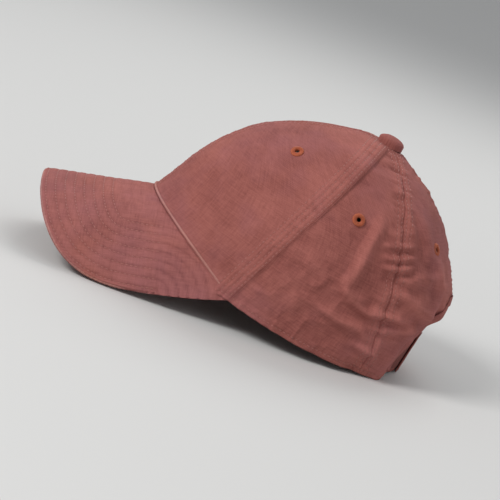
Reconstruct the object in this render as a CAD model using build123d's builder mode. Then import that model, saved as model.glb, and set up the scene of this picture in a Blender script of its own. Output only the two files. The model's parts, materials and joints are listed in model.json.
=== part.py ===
"""Bump cap: a six-panel fabric cap with a curved bill, a hook-and-loop strap across the rear
arch and a vented protective insert with foam pads inside the crown.

The pieces are drawn in the wearer's frame: x to the wearer's left, y to the rear, z up, with the
origin between the two rear ends of the bill.  Every piece is then tipped so that the cap stands
on the sides of its bill and on its rear hem, with the origin on the table under its middle.

The crown is a stack of egg-shaped sections.  A place on it is a turn (0 at the rear, pi / 2 at
the wearer's left, pi at the front) and a level (the number of a station, counted from below).
Each layer of the crown is a net of such places, set in from the outside by its own depth.
"""
from build123d import *
from math import acos, atan2, cos, hypot, pi, radians, sin, sqrt, tan
import os

os.makedirs("parts", exist_ok=True)

# ---- driving sizes, in millimetres and degrees -------------------------------------------------
CROWN_LENGTH = 211.0  # outside, from the forehead to the back of the head
CROWN_WIDTH = 156.6  # outside, across the ears
CROWN_HEIGHT = 128.8  # from the ends of the bill to the top, under the button
BUTTON_Y = 0.2417 * CROWN_LENGTH  # the button stands behind the ends of the bill

FABRIC = 1.2  # outer cloth of the crown, with its turned seams
SEAM_GAP = 0.1  # between two panels' edges
LAYER_GAP = 0.6  # between two layers of the crown
BACKING = 0.6  # stiff backing cloth of the two front panels, and the seam tapes
BACKING_MARGIN = 5.5  # the backing stops this short of each seam
TAPE_WIDTH = 8.0
FRONT_SEAM_BEARING = 83.2  # how the front seam leaves the button, from straight ahead
FRONT_SEAM_LEAN = 18.0  # its plane leans back by this
REAR_SEAM_BEARING = 109.2
REAR_SEAM_LEAN = -9.7  # and this one leans forward

BILL_LENGTH = 74.0  # along the middle ridge
BILL_DROP_ANGLE = 20.0  # the ridge points down by this
BILL_SEAT_Z = 29.9  # height of the middle of the bill's seam above its ends
BILL_FLARE = 3.0  # the flat bill is wider than its ends by this, on each side
BILL_WIDEST = 10.0  # the widest place, behind the seam's middle
BILL_COVER = 0.8
BILL_BOARD = 1.8
BILL_GAP = 0.4  # between the board and each cover
BILL_SEAM_GAP = 0.7  # between the bill and the crown
BILL_EDGE = 2.0  # width of the piping round the board

HEM_DIP = 3.5  # the side hem is lower than the ends of the bill
HEM_REAR = 2.0  # and so is the rear hem

SWEATBAND_HEIGHT = 27.0
SWEATBAND = 1.5
SWEATBAND_END_TURN = 62.0
BROW_PAD = 1.6
BROW_PAD_TURN = 34.0

ARCH_HALF_WIDTH = 50.0  # rear opening, at the hem
ARCH_TOP_Z = 54.0
BINDING = 0.5
BINDING_WIDTH = 6.0

STRAP_HEIGHT = 30.0
STRAP = 0.9
STRAP_AXIS_Y = 0.6317 * CROWN_LENGTH - 0.468 * CROWN_WIDTH  # the strap bends round it
STRAP_IN = 3.6  # the strap's outside, inside the crown's outside at the rear
STRAP_LEAN = 3.0
HOOK_AND_LOOP = 0.5
STRAP_ROOT_ANGLE = 58.0  # where the straps end under the rear panels
STRAP_END_ANGLE = 12.0  # the left strap passes the middle by this
TAB_END_ANGLE = 16.0  # the tab overlaps the left strap up to here
TAB_GAP = 0.4  # between the strap and its tab, at the fold

SHELL = 2.0  # protective insert
SHELL_RIM_Z = 68.0
SHELL_SIDE_IN = 5.2  # the insert's outside, inside the crown's outside
SHELL_REAR_MORE = 2.2  # deeper at the rear and shallower at the front, fading to the top
SHELL_TOP_MORE = 2.0
RIM_TRIM = 0.6
RIM_TRIM_HEIGHT = 5.0
PAD = 5.0
FOAM_GAP = 0.9  # between the insert and its pads and trim
VENT_DIAMETER = 12.0

BUTTON_DIAMETER = 17.0
BUTTON_HEIGHT = 5.2
BUTTON_SKIN = 0.8
STUD_DIAMETER = 4.0
WASHER_DIAMETER = 12.0
WASHER = 0.8
EYELET_DIAMETER = 8.6
EYELET_HOLE = 3.0
EYELET_RISE = 0.5
CLEARANCE = 0.3

# ---- crown stations, as shares of the crown's length, height and half width ---------------------
# (front y, front z, rear y, rear z, half width, egg): egg widens the rear half of the section
STATIONS = [
    (-0.391, -0.064, 0.605, -0.272, 0.960, 0.12),
    (-0.359, 0.144, 0.625, 0.000, 0.994, 0.12),
    (-0.315, 0.336, 0.642, 0.272, 1.000, 0.11),
    (-0.261, 0.528, 0.622, 0.480, 0.967, 0.10),
    (-0.198, 0.675, 0.571, 0.640, 0.881, 0.08),
    (-0.119, 0.800, 0.498, 0.776, 0.737, 0.06),
    (0.000, 0.908, 0.410, 0.880, 0.526, 0.04),
    (0.122, 0.968, 0.332, 0.948, 0.276, 0.02),
    (0.205, 0.990, 0.279, 0.983, 0.100, 0.00),
    (0.228, 0.995, 0.256, 0.991, 0.038, 0.00),
]
TOP = len(STATIONS) - 1.0
PIECES = {}
CORNERS = {}


# ---- the crown's surface --------------------------------------------------------------------------
def station(level):
    """Section at any level, by a smooth curve through the stations."""
    k = min(int(max(level, 0)), len(STATIONS) - 2)
    share = level - k
    p0 = STATIONS[max(k - 1, 0)]
    p1 = STATIONS[k]
    p2 = STATIONS[k + 1]
    p3 = STATIONS[min(k + 2, len(STATIONS) - 1)]
    blended = []
    for a, b, c, d in zip(p0, p1, p2, p3):
        slope_b = (c - a) / 2
        slope_c = (d - b) / 2
        curve = 2 * b - 2 * c + slope_b + slope_c
        bend = -3 * b + 3 * c - 2 * slope_b - slope_c
        blended.append(((curve * share + bend) * share + slope_b) * share + b)
    return blended


def crown(turn, level):
    """Point of the crown's outside: x = w sin a (1 + e cos a), and cos a runs rear to front."""
    fy, fz, ry, rz, width, egg = station(level)
    across = width * CROWN_WIDTH / 2 * sin(turn) * (1 + egg * cos(turn))
    along = ((fy + ry) / 2 + (ry - fy) / 2 * cos(turn)) * CROWN_LENGTH
    up = ((fz + rz) / 2 + (rz - fz) / 2 * cos(turn)) * CROWN_HEIGHT
    return Vector(across, along, up)


def under_crown(turn, level, depth):
    """Point at a depth inside the crown's outside, square to it."""
    step = 0.01
    around = crown(turn + step, level) - crown(turn - step, level)
    upward = crown(turn, min(level + step, TOP)) - crown(turn, max(level - step, 0))
    return crown(turn, level) - upward.cross(around).normalized() * depth


def solve(function, low, high):
    """Place where a function that starts below zero becomes zero, by halving."""
    for _ in range(40):
        middle = (low + high) / 2
        if function(middle) < 0:
            low = middle
        else:
            high = middle
    return (low + high) / 2


# ---- the bill's frame: a cylinder along its ridge, through the bill's ends ----------------------
FORWARD = Vector(0, -cos(radians(BILL_DROP_ANGLE)), -sin(radians(BILL_DROP_ANGLE)))
UPWARD = Vector(0, -sin(radians(BILL_DROP_ANGLE)), cos(radians(BILL_DROP_ANGLE)))


def turn_at_y(level, y):
    """Turn on the left where a level's section passes a given y."""
    return solve(lambda a: y - crown(a, level).Y, 0.0, pi)


SEAT = crown(pi, solve(lambda k: crown(pi, k).Z - BILL_SEAT_Z, 0, TOP))
HORN_LEVEL = solve(lambda k: crown(turn_at_y(k, 0), k).Z, 0, TOP)
HORN_TURN = turn_at_y(HORN_LEVEL, 0)
HORN = crown(HORN_TURN, HORN_LEVEL)
HORN_DROP = -(HORN - SEAT).dot(UPWARD)
HORN_BACK = (HORN - SEAT).dot(FORWARD)
BILL_RADIUS = (HORN.X**2 + HORN_DROP**2) / (2 * HORN_DROP)
HORN_ARC = BILL_RADIUS * acos(1 - HORN_DROP / BILL_RADIUS)
BILL_THICKNESS = 2 * BILL_COVER + 2 * BILL_GAP + BILL_BOARD
BOARD_TOP = BILL_COVER + BILL_GAP


def above_bill(point, depth):
    """Height of a point over the bill at a depth under its top, square to the bill."""
    up = (point - SEAT).dot(UPWARD) + BILL_RADIUS
    return hypot(point.X, up) - (BILL_RADIUS - depth)


def bill_point(arc, ahead, depth):
    """Point of the bill from its flat pattern: arc length across, and distance ahead."""
    angle = arc / BILL_RADIUS
    up = (BILL_RADIUS - depth) * cos(angle) - BILL_RADIUS
    return SEAT + FORWARD * ahead + UPWARD * up + Vector((BILL_RADIUS - depth) * sin(angle), 0, 0)


# ---- edges of the crown -----------------------------------------------------------------------------
def hem_height(y):
    """Height of the hem behind the bill's ends: a shallow sine dip."""
    share = min(max(y / (0.6 * CROWN_LENGTH), 0), 1)
    return -HEM_DIP * sin(pi * share) ** 0.7 * (1 - 0.2 * share) - HEM_REAR * share


def arch_height(x):
    """Height of the rear opening over its width: a squarish half ellipse."""
    share = abs(x) / ARCH_HALF_WIDTH
    if share >= 1:
        return -CROWN_HEIGHT
    return -HEM_DIP + (ARCH_TOP_Z + HEM_DIP) * (1 - share**2.8) ** 0.5


def clear_of_edges(point, with_arch):
    """How far a point of the crown is above the bill's underside, the hem and the arch."""
    gap = point.Z - hem_height(point.Y)
    if (point - SEAT).dot(FORWARD) > HORN_BACK:
        gap = min(gap, above_bill(point, BILL_THICKNESS))
    if with_arch and point.Y > STRAP_AXIS_Y:
        gap = min(gap, point.Z - arch_height(point.X))
    return gap


def low_level(turn_of, with_arch=False):
    """Level where the cloth begins, going up along a turn that may depend on the level."""
    return solve(lambda k: clear_of_edges(crown(turn_of(k), k), with_arch), 0, TOP)


def seam_turn(bearing, lean, shift=0.0):
    """Turn of a left seam at any level, shifted to the front by some millimetres."""
    b, t = radians(bearing), radians(lean)
    normal = Vector(cos(b) * cos(t), sin(b) * cos(t), -sin(t))
    top = Vector(0, BUTTON_Y, 0.993 * CROWN_HEIGHT)

    def turn_of(level):
        return solve(lambda a: -(crown(a, level) - top).dot(normal) - shift, 0.0, pi)

    return turn_of


def middle_turn(front, shift):
    """Turn of the front or rear middle seam, shifted to the left by some millimetres."""

    def turn_of(level):
        reach = max(station(level)[4] * CROWN_WIDTH / 2, 1.5 * abs(shift))
        offset = shift / reach
        return pi - offset if front else offset

    return turn_of


# ---- solids from nets of points ------------------------------------------------------------------------
def net_solid(outer, inner, closed=False):
    """Closed solid between two nets of points with equal rows and columns.

    A closed net joins its last column to its first.  Each four-sided cell is two triangles.
    """
    rows = len(outer)
    columns = len(outer[0])
    faces = []

    def triangle(a, b, c):
        if min((a - b).length, (b - c).length, (c - a).length) > 1e-4:
            if (b - a).cross(c - a).length > 1e-6:
                faces.append(Face(Wire.make_polygon([a, b, c], close=True)))

    def cell(a, b, c, d):
        triangle(a, b, c)
        triangle(a, c, d)

    across = columns if closed else columns - 1
    for i in range(rows - 1):
        for j in range(across):
            n = (j + 1) % columns
            cell(outer[i][j], outer[i][n], outer[i + 1][n], outer[i + 1][j])
            cell(inner[i][j], inner[i + 1][j], inner[i + 1][n], inner[i][n])
    for j in range(across):
        n = (j + 1) % columns
        cell(outer[0][j], inner[0][j], inner[0][n], outer[0][n])
        cell(outer[-1][j], outer[-1][n], inner[-1][n], inner[-1][j])
    if not closed:
        for i in range(rows - 1):
            cell(outer[i][0], outer[i + 1][0], inner[i + 1][0], inner[i][0])
            cell(outer[i][-1], inner[i][-1], inner[i + 1][-1], outer[i + 1][-1])
    solid = Solid(Shell(faces))
    return solid if solid.volume > 0 else Solid(Shell([-f for f in faces]))


def crown_net(columns, rows, low_of, high_of, outer_depth, inner_depth):
    """Two nets of the crown between a low and a high level on each column.

    Each column is a function from level to turn.  A depth is a number or a function of both.
    """

    def depth_at(depth, turn, level):
        return depth(turn, level) if callable(depth) else depth

    nets = ([], [])
    spans = [(turn_of, low_of(turn_of), high_of(turn_of)) for turn_of in columns]
    for i in range(rows + 1):
        share = i / rows
        for net, depth in zip(nets, (outer_depth, inner_depth)):
            line = []
            for turn_of, low, high in spans:
                level = low + (high - low) * share
                turn = turn_of(level)
                line.append(under_crown(turn, level, depth_at(depth, turn, level)))
            net.append(line)
    return nets


def between(first, second, shares):
    """Columns at some shares of the way between two turns."""
    return [lambda k, c=c: first(k) * (1 - c) + second(k) * c for c in shares]


def even(count):
    """Shares from 0 to 1 in equal steps."""
    return [i / count for i in range(count + 1)]


def constant(value):
    """Function that gives one value whatever it is asked."""
    return lambda *_: value


def keep_piece(name, shape, corners=()):
    """Keeps a finished piece under its name, with its corner points."""
    PIECES[name] = shape
    CORNERS[name] = list(corners)


def corners_of(nets):
    """All points of some nets."""
    return [p for net in nets for line in net for p in line]


def pair(name, builder, corners=()):
    """Keeps a left piece and its mirror image on the right."""
    keep_piece(name + "_left", builder.part, corners)
    with BuildPart() as right:
        add(mirror(builder.part, about=Plane.YZ, mode=Mode.PRIVATE))
    keep_piece(name + "_right", right.part)


# ---- the six crown panels ---------------------------------------------------------------------------------
HALF_GAP = SEAM_GAP / 2


def aim(bearing, rise):
    """Direction at a bearing from straight ahead to the left, and an angle above level."""
    b, r = radians(bearing), radians(rise)
    return Vector(sin(b) * cos(r), -cos(b) * cos(r), sin(r))


def crown_plane(turn, level):
    """Plane on the crown's outside, its z axis pointing outward."""
    return Plane(origin=crown(turn, level), z_dir=crown(turn, level) - under_crown(turn, level, 1))


EYELETS = {
    "front": crown_plane(radians(131.0), 4.87),
    "side": crown_plane(radians(84.0), 4.0),
    "rear": crown_plane(radians(32.0), 4.2),
}


def crown_panel(name, first, second, shares, with_arch=False):
    """One left panel of cloth between two seams, with the hole for its eyelet."""
    columns = between(first, second, shares)
    nets = crown_net(columns, 12, lambda turn_of: low_level(turn_of, with_arch), constant(TOP),
                     0.0, FABRIC)
    with BuildPart() as piece:
        add(net_solid(*nets))
        with BuildSketch(EYELETS[name].offset(-3 * FABRIC)):
            Circle(EYELET_DIAMETER / 2 + HALF_GAP)
        extrude(amount=6 * FABRIC, mode=Mode.SUBTRACT)
    pair(name + "_panel", piece, corners_of(nets))


crown_panel("front", seam_turn(FRONT_SEAM_BEARING, FRONT_SEAM_LEAN, HALF_GAP),
            middle_turn(True, HALF_GAP), even(10))
crown_panel("side", seam_turn(REAR_SEAM_BEARING, REAR_SEAM_LEAN, HALF_GAP),
            seam_turn(FRONT_SEAM_BEARING, FRONT_SEAM_LEAN, -HALF_GAP), even(7))
crown_panel("rear", middle_turn(False, HALF_GAP),
            seam_turn(REAR_SEAM_BEARING, REAR_SEAM_LEAN, -HALF_GAP),
            (0, 0.15, 0.3, 0.43, 0.54, 0.64, 0.71, 0.76, 0.8, 0.9, 1), with_arch=True)

with BuildPart() as eyelets:
    for place in EYELETS.values():
        for side in (1, -1):
            origin = Vector(side * place.origin.X, place.origin.Y, place.origin.Z)
            outward = Vector(side * place.z_dir.X, place.z_dir.Y, place.z_dir.Z)
            with BuildSketch(Plane(origin=origin, z_dir=outward).offset(-FABRIC)):
                Circle(EYELET_DIAMETER / 2)
                Circle(EYELET_HOLE / 2, mode=Mode.SUBTRACT)
            extrude(amount=FABRIC + EYELET_RISE)
keep_piece("eyelets", eyelets.part)

# ---- backing and seam tapes, inside the cloth ----------------------------------------------------------------
BACKING_IN = FABRIC + LAYER_GAP
BACKING_TOP = TOP - 2.4


def backing_layer(columns, rows):
    """Solid of the layer just inside the cloth, along some columns."""
    nets = crown_net(columns, rows, low_level, constant(BACKING_TOP), BACKING_IN,
                     BACKING_IN + BACKING)
    with BuildPart() as piece:
        add(net_solid(*nets))
    return piece


pair("front_backing", backing_layer(between(
    seam_turn(FRONT_SEAM_BEARING, FRONT_SEAM_LEAN, BACKING_MARGIN),
    middle_turn(True, BACKING_MARGIN), even(8)), 10))
HALF_TAPE = TAPE_WIDTH / 2
pair("front_side_tape", backing_layer([
    seam_turn(FRONT_SEAM_BEARING, FRONT_SEAM_LEAN, shift) for shift in (-HALF_TAPE, HALF_TAPE)], 12))
pair("side_rear_tape", backing_layer([
    seam_turn(REAR_SEAM_BEARING, REAR_SEAM_LEAN, shift) for shift in (-HALF_TAPE, HALF_TAPE)], 12))
keep_piece("front_middle_tape", backing_layer([
    middle_turn(True, HALF_TAPE), middle_turn(True, -HALF_TAPE)], 12).part)


def level_at_height(turn_of, height):
    """Level where a column reaches a height."""
    return solve(lambda k: crown(turn_of(k), k).Z - height, 0, TOP)


rear_columns = [middle_turn(False, -HALF_TAPE), middle_turn(False, HALF_TAPE)]
rear_nets = crown_net(rear_columns, 10,
                      lambda t: level_at_height(t, ARCH_TOP_Z + BINDING_WIDTH + 2),
                      constant(BACKING_TOP), BACKING_IN, BACKING_IN + BACKING)
with BuildPart() as rear_tape:
    add(net_solid(*rear_nets))
keep_piece("rear_middle_tape", rear_tape.part)

# ---- button -----------------------------------------------------------------------------------------------------
BUTTON_SEAT_Z = 0.995 * CROWN_HEIGHT + CLEARANCE


def button_form(shrink):
    """Domed disc on the button's seat, smaller than the button by some amount all round."""
    radius = BUTTON_DIAMETER / 2 - shrink
    height = BUTTON_HEIGHT - shrink
    seat = Plane(origin=(0, BUTTON_Y, BUTTON_SEAT_Z), x_dir=(1, 0, 0), z_dir=(0, -1, 0))
    with BuildPart() as form:
        with BuildSketch(seat):
            with BuildLine():
                Line((0, 0), (0, height))
                Spline((0, height), (0.7 * radius, 0.8 * height), (radius, 0.3 * height),
                       tangents=((1, 0), (0, -1)))
                Polyline((radius, 0.3 * height), (radius, 0), (0, 0))
            make_face()
        revolve(axis=Axis((0, BUTTON_Y, 0), (0, 0, 1)))
    return form.part


button_core = button_form(BUTTON_SKIN)
with BuildPart() as button_cover:
    add(button_form(0))
    add(button_core, mode=Mode.SUBTRACT)
WASHER_TOP = BUTTON_SEAT_Z - FABRIC - 3.2
with BuildPart() as button_washer:
    with BuildSketch(Plane(origin=(0, BUTTON_Y, WASHER_TOP - WASHER))):
        Circle(WASHER_DIAMETER / 2)
    extrude(amount=WASHER)
    with BuildSketch(Plane(origin=(0, BUTTON_Y, WASHER_TOP))):
        Circle(STUD_DIAMETER / 2)
    extrude(amount=BUTTON_SEAT_Z - WASHER_TOP)
keep_piece("button_core", button_core)
keep_piece("button_cover", button_cover.part)
keep_piece("button_washer", button_washer.part)

# ---- bill ---------------------------------------------------------------------------------------------------------
BILL_SHARES = (0, 0.12, 0.25, 0.38, 0.5, 0.62, 0.73, 0.82, 0.89, 0.94, 0.97, 0.99, 1.0)


def junction(depth):
    """Flat-pattern places where the bill, at a depth, meets the crown's outside, by arc."""
    places = []
    for share in even(14):
        turn = pi + (HORN_TURN - 0.06 - pi) * share
        level = solve(lambda k: above_bill(crown(turn, k), depth), 0, TOP)
        point = under_crown(turn, level, -BILL_SEAM_GAP)
        up = (point - SEAT).dot(UPWARD) + BILL_RADIUS
        places.append((BILL_RADIUS * atan2(point.X, up), (point - SEAT).dot(FORWARD)))
    return places


def along(places, arc):
    """Distance ahead at an arc length, on straight lines between the places."""
    for (a0, t0), (a1, t1) in zip(places, places[1:]):
        if a0 <= arc <= a1:
            return t0 + (t1 - t0) * (arc - a0) / (a1 - a0)
    return places[-1][1] if arc > places[-1][0] else places[0][1]


def bill_edges(places, share, edge_in):
    """Arc, and distances ahead of the inner and outer edge, at a share of the half width.

    Ahead of the widest place the flat bill's edge is a superellipse, and behind it a parabola.
    """
    widest = HORN_ARC + BILL_FLARE - edge_in
    arc = share * widest
    outer = -BILL_WIDEST
    outer += (BILL_LENGTH - edge_in + BILL_WIDEST) * max(1 - share**2.5, 0) ** (1 / 3.1)
    back = -BILL_WIDEST
    flare = max(widest - arc, 0) / (BILL_FLARE - edge_in)
    back += (HORN_BACK + edge_in + BILL_WIDEST) * sqrt(min(flare, 1))
    inner = max(along(places, arc), back)
    return arc, min(inner, outer), outer


def bill_nets(top, bottom, edge_in):
    """Two nets of the bill between two depths, with its outer edge moved in."""
    nets = []
    for depth in (top, bottom):
        places = junction(depth)
        lines = []
        for i in range(7):
            line = []
            for share in [-s for s in BILL_SHARES[:0:-1]] + list(BILL_SHARES):
                arc, inner, outer = bill_edges(places, abs(share), edge_in)
                ahead = inner + (outer - inner) * i / 6
                line.append(bill_point(arc if share > 0 else -arc, ahead, depth))
            lines.append(line)
        nets.append(lines)
    return nets


def bill_piece(name, top, bottom, edge_in):
    """One layer of the bill."""
    nets = bill_nets(top, bottom, edge_in)
    with BuildPart() as piece:
        add(net_solid(*nets))
    keep_piece(name, piece.part, corners_of(nets))


bill_piece("bill_top_cover", 0, BILL_COVER, 0)
bill_piece("bill_board", BOARD_TOP, BOARD_TOP + BILL_BOARD, BILL_EDGE)
bill_piece("bill_under_cover", BILL_THICKNESS - BILL_COVER, BILL_THICKNESS, 0)


def piping_net(depth):
    """Piping's inner and outer line at a depth, from the right end round to the left."""
    places = junction(depth)
    lines = []
    for edge_in in (BILL_EDGE - BILL_GAP, 0):
        line = []
        for share in [-s for s in BILL_SHARES[:0:-1]] + list(BILL_SHARES):
            arc, _, outer = bill_edges(places, abs(share), edge_in)
            line.append(bill_point(arc if share > 0 else -arc, outer, depth))
        lines.append(line)
    return lines


with BuildPart() as bill_piping:
    add(net_solid(piping_net(BOARD_TOP), piping_net(BOARD_TOP + BILL_BOARD)))
keep_piece("bill_piping", bill_piping.part)

# ---- sweatband and brow pad -----------------------------------------------------------------------------------------
BAND_IN = BACKING_IN + BACKING + LAYER_GAP


def low_band(end_turn, count, height, depth, thickness):
    """Band inside the hem, from one end turn round the front to the other."""
    columns = [constant(pi + (pi - end_turn) * (2 * c - 1)) for c in even(count)]

    def top_of(turn_of):
        low = crown(turn_of(0), low_level(turn_of))
        return level_at_height(turn_of, low.Z + height)

    with BuildPart() as band:
        add(net_solid(*crown_net(columns, 4, low_level, top_of, depth, depth + thickness)))
    return band.part


keep_piece("sweatband", low_band(radians(SWEATBAND_END_TURN), 40, SWEATBAND_HEIGHT, BAND_IN,
                                 SWEATBAND))
keep_piece("brow_pad", low_band(pi - radians(BROW_PAD_TURN), 12, SWEATBAND_HEIGHT - 4,
                                BAND_IN + SWEATBAND + CLEARANCE, BROW_PAD))

# ---- rear arch binding and straps --------------------------------------------------------------------------------------
ARCH_TURN = solve(lambda a: crown(a, 1.0).X - ARCH_HALF_WIDTH, 0, pi / 2)
arch_columns = [constant(ARCH_TURN * c) for c in
                (-0.97, -0.92, -0.84, -0.7, -0.5, -0.25, 0, 0.25, 0.5, 0.7, 0.84, 0.92, 0.97)]


def arch_level(turn_of):
    """Level of the rear opening's edge on a column."""
    return low_level(turn_of, with_arch=True)


with BuildPart() as arch_binding:
    add(net_solid(*crown_net(
        arch_columns, 2, arch_level,
        lambda t: level_at_height(t, crown(t(0), arch_level(t)).Z + BINDING_WIDTH),
        -BINDING - CLEARANCE, -CLEARANCE)))
keep_piece("arch_binding", arch_binding.part)

STRAP_MIDDLE_Z = (STRAP_HEIGHT - HEM_REAR) / 2
REAR_RADIUS = crown(0, level_at_height(constant(0), STRAP_MIDDLE_Z)).Y - STRAP_AXIS_Y
STRAP_OUT = REAR_RADIUS - STRAP_IN
HOOK_OUT = STRAP_OUT - STRAP
LOOP_OUT = HOOK_OUT - HOOK_AND_LOOP - CLEARANCE
LEFT_OUT = LOOP_OUT - HOOK_AND_LOOP
STRAP_AXIS = Axis((0, STRAP_AXIS_Y, 0), (0, 0, -1))


def arc_band(name, outer, thickness, height, start, end):
    """Band round the strap's axis between two angles, which grow from the rear to the left."""
    lean = tan(radians(STRAP_LEAN)) * height / 2
    low = STRAP_MIDDLE_Z - height / 2
    high = STRAP_MIDDLE_Z + height / 2
    out = (sin(radians(start)), cos(radians(start)), 0)
    square = (cos(radians(start)), -sin(radians(start)), 0)
    with BuildPart() as band:
        with BuildSketch(Plane(origin=(0, STRAP_AXIS_Y, 0), x_dir=out, z_dir=square)):
            with BuildLine():
                Polyline((outer - lean, low), (outer + lean, high),
                         (outer + lean - thickness, high), (outer - lean - thickness, low),
                         close=True)
            make_face()
        revolve(axis=STRAP_AXIS, revolution_arc=end - start)
    keep_piece(name, band.part)


FOLD_ANGLE = -STRAP_END_ANGLE - 2.0
TAB_START = FOLD_ANGLE + TAB_GAP / STRAP_OUT * 180 / pi
arc_band("strap_left", LEFT_OUT, STRAP, STRAP_HEIGHT, -STRAP_END_ANGLE, STRAP_ROOT_ANGLE)
arc_band("loop_strip", LOOP_OUT, HOOK_AND_LOOP, STRAP_HEIGHT - 6, 1 - STRAP_END_ANGLE, 30.0)
arc_band("strap_right", STRAP_OUT, STRAP, STRAP_HEIGHT, -STRAP_ROOT_ANGLE, FOLD_ANGLE)
arc_band("strap_tab", STRAP_OUT, STRAP, STRAP_HEIGHT, TAB_START, TAB_END_ANGLE)
arc_band("hook_strip", HOOK_OUT, HOOK_AND_LOOP, STRAP_HEIGHT - 6, TAB_START + 2,
         TAB_END_ANGLE - 1)


# ---- care label ----------------------------------------------------------------------------------------------------------
def patch(name, turns, levels, outer_depth, inner_depth, steps=(4, 4)):
    """Small piece of a layer between two turns and two levels."""
    columns = [constant(turns[0] + (turns[1] - turns[0]) * c) for c in even(steps[0])]
    with BuildPart() as piece:
        add(net_solid(*crown_net(columns, steps[1], constant(levels[0]), constant(levels[1]),
                                 outer_depth, inner_depth)))
    keep_piece(name, piece.part)
    return piece


patch("care_label", (1.36, 1.66), (2.35, 3.1), BACKING_IN, BACKING_IN + BACKING, (3, 2))

# ---- protective insert ------------------------------------------------------------------------------------------------------


def insert_depth(more):
    """Depth of the insert's outside plus a further amount, as a function of turn and level."""

    def depth(turn, level):
        share = level / TOP
        return SHELL_SIDE_IN + SHELL_REAR_MORE * cos(turn) * (1 - share) + (
            SHELL_TOP_MORE * share + more)

    return depth


def insert_layer(low_z, high_level, outer_more, inner_more, rows):
    """Closed ring or dome of the insert from a height up to a level."""
    columns = [constant(2 * pi * i / 32) for i in range(32)]
    with BuildPart() as piece:
        add(net_solid(*crown_net(columns, rows, lambda t: level_at_height(t, low_z), high_level,
                                 insert_depth(outer_more), insert_depth(inner_more)), closed=True))
    return piece.part


INSERT_MIDDLE = Vector(0, 40, SHELL_RIM_Z)
VENT_RISE = 48.0
VENT_BEARINGS = (18, 62, 104, 148)
with BuildPart() as protective_shell:
    add(insert_layer(SHELL_RIM_Z, constant(TOP), 0, SHELL, 9))
    for bearing in VENT_BEARINGS:
        for turn in (bearing, -bearing):
            with BuildSketch(Plane(origin=INSERT_MIDDLE, z_dir=aim(turn, VENT_RISE))):
                Circle(VENT_DIAMETER / 2)
            extrude(amount=CROWN_LENGTH, mode=Mode.SUBTRACT)
keep_piece("protective_shell", protective_shell.part)

keep_piece("rim_trim", insert_layer(
    SHELL_RIM_Z, lambda t: level_at_height(t, SHELL_RIM_Z + RIM_TRIM_HEIGHT),
    SHELL + FOAM_GAP, SHELL + FOAM_GAP + RIM_TRIM, 1))

PAD_OUT = insert_depth(SHELL + FOAM_GAP)
PAD_IN = insert_depth(SHELL + FOAM_GAP + PAD)
PAD_LOW = level_at_height(constant(pi / 2), SHELL_RIM_Z + RIM_TRIM_HEIGHT + 4)
PAD_HIGH = PAD_LOW + 1.6
patch("pad_front", (pi - 0.42, pi + 0.42), (PAD_LOW, PAD_HIGH), PAD_OUT, PAD_IN)
patch("pad_rear", (-0.4, 0.4), (PAD_LOW + 0.5, PAD_HIGH), PAD_OUT, PAD_IN)
patch("pad_left", (1.25, 1.9), (PAD_LOW, PAD_HIGH), PAD_OUT, PAD_IN)
patch("pad_right", (-1.9, -1.25), (PAD_LOW, PAD_HIGH), PAD_OUT, PAD_IN)
crown_columns = [constant(2 * pi * i / 20) for i in range(20)]
with BuildPart() as pad_crown:
    add(net_solid(*crown_net(crown_columns, 3, constant(TOP - 2.6), constant(TOP - 0.4), PAD_OUT,
                             PAD_IN), closed=True))
keep_piece("pad_crown", pad_crown.part)

TAB_LEVELS = (5.6, 6.1)
LOOP_IN = BACKING_IN + BACKING + CLEARANCE
for name, middle in (("front", 2.45), ("rear", 0.75)):
    for side, sign in (("left", 1), ("right", -1)):
        turns = sorted((sign * (middle - 0.1), sign * (middle + 0.1)))
        patch(f"crown_loop_tab_{name}_{side}", turns, TAB_LEVELS, LOOP_IN, LOOP_IN + HOOK_AND_LOOP,
              (2, 1))
        patch(f"insert_hook_tab_{name}_{side}", turns, TAB_LEVELS,
              LOOP_IN + HOOK_AND_LOOP + 2 * CLEARANCE, insert_depth(-CLEARANCE), (2, 1))


# ---- standing on the table ------------------------------------------------------------------------------------------------------
def lowest(names, tilt):
    """Lowest height of some pieces' corners after the cap is tipped by tilt degrees."""
    s, c = sin(radians(tilt)), cos(radians(tilt))
    return min(p.Y * s + p.Z * c for name in names for p in CORNERS[name])


BILL_NAMES = ("bill_top_cover", "bill_under_cover")
HEM_NAMES = ("rear_panel_left", "side_panel_left")
TILT = solve(lambda tilt: lowest(HEM_NAMES, -tilt) * -1 + lowest(BILL_NAMES, -tilt), 0, 20) * -1
tipped = {name: piece.moved(Location((0, 0, 0), (TILT, 0, 0))) for name, piece in PIECES.items()}
boxes = [piece.bounding_box() for piece in tipped.values()]
FLOOR = min(box.min.Z for box in boxes)
MIDDLE_Y = (min(box.min.Y for box in boxes) + max(box.max.Y for box in boxes)) / 2
SHIFT = Vector(0, -MIDDLE_Y, -FLOOR)
for name, piece in tipped.items():
    standing = piece.moved(Location(SHIFT))
    standing.label = name
    export_step(standing, f"parts/{name}.step")


def standing_place(point):
    """Place of a point of the wearer's frame once the cap stands on the table."""
    return point.rotate(Axis.X, TILT) + SHIFT


FOLD_OUT = STRAP_OUT + STRAP_HEIGHT / 2 * tan(radians(STRAP_LEAN)) + CLEARANCE / 2
FOLD = Vector(FOLD_OUT * sin(radians(FOLD_ANGLE)),
              STRAP_AXIS_Y + FOLD_OUT * cos(radians(FOLD_ANGLE)), STRAP_MIDDLE_Z)
print("tilt", round(TILT, 3))
print("upright", Vector(0, 0, 1).rotate(Axis.X, TILT))
print("strap axis", standing_place(Vector(0, STRAP_AXIS_Y, STRAP_MIDDLE_Z)))
print("fold", standing_place(FOLD))
print("origin", standing_place(Vector(0, 0, 0)))
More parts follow.
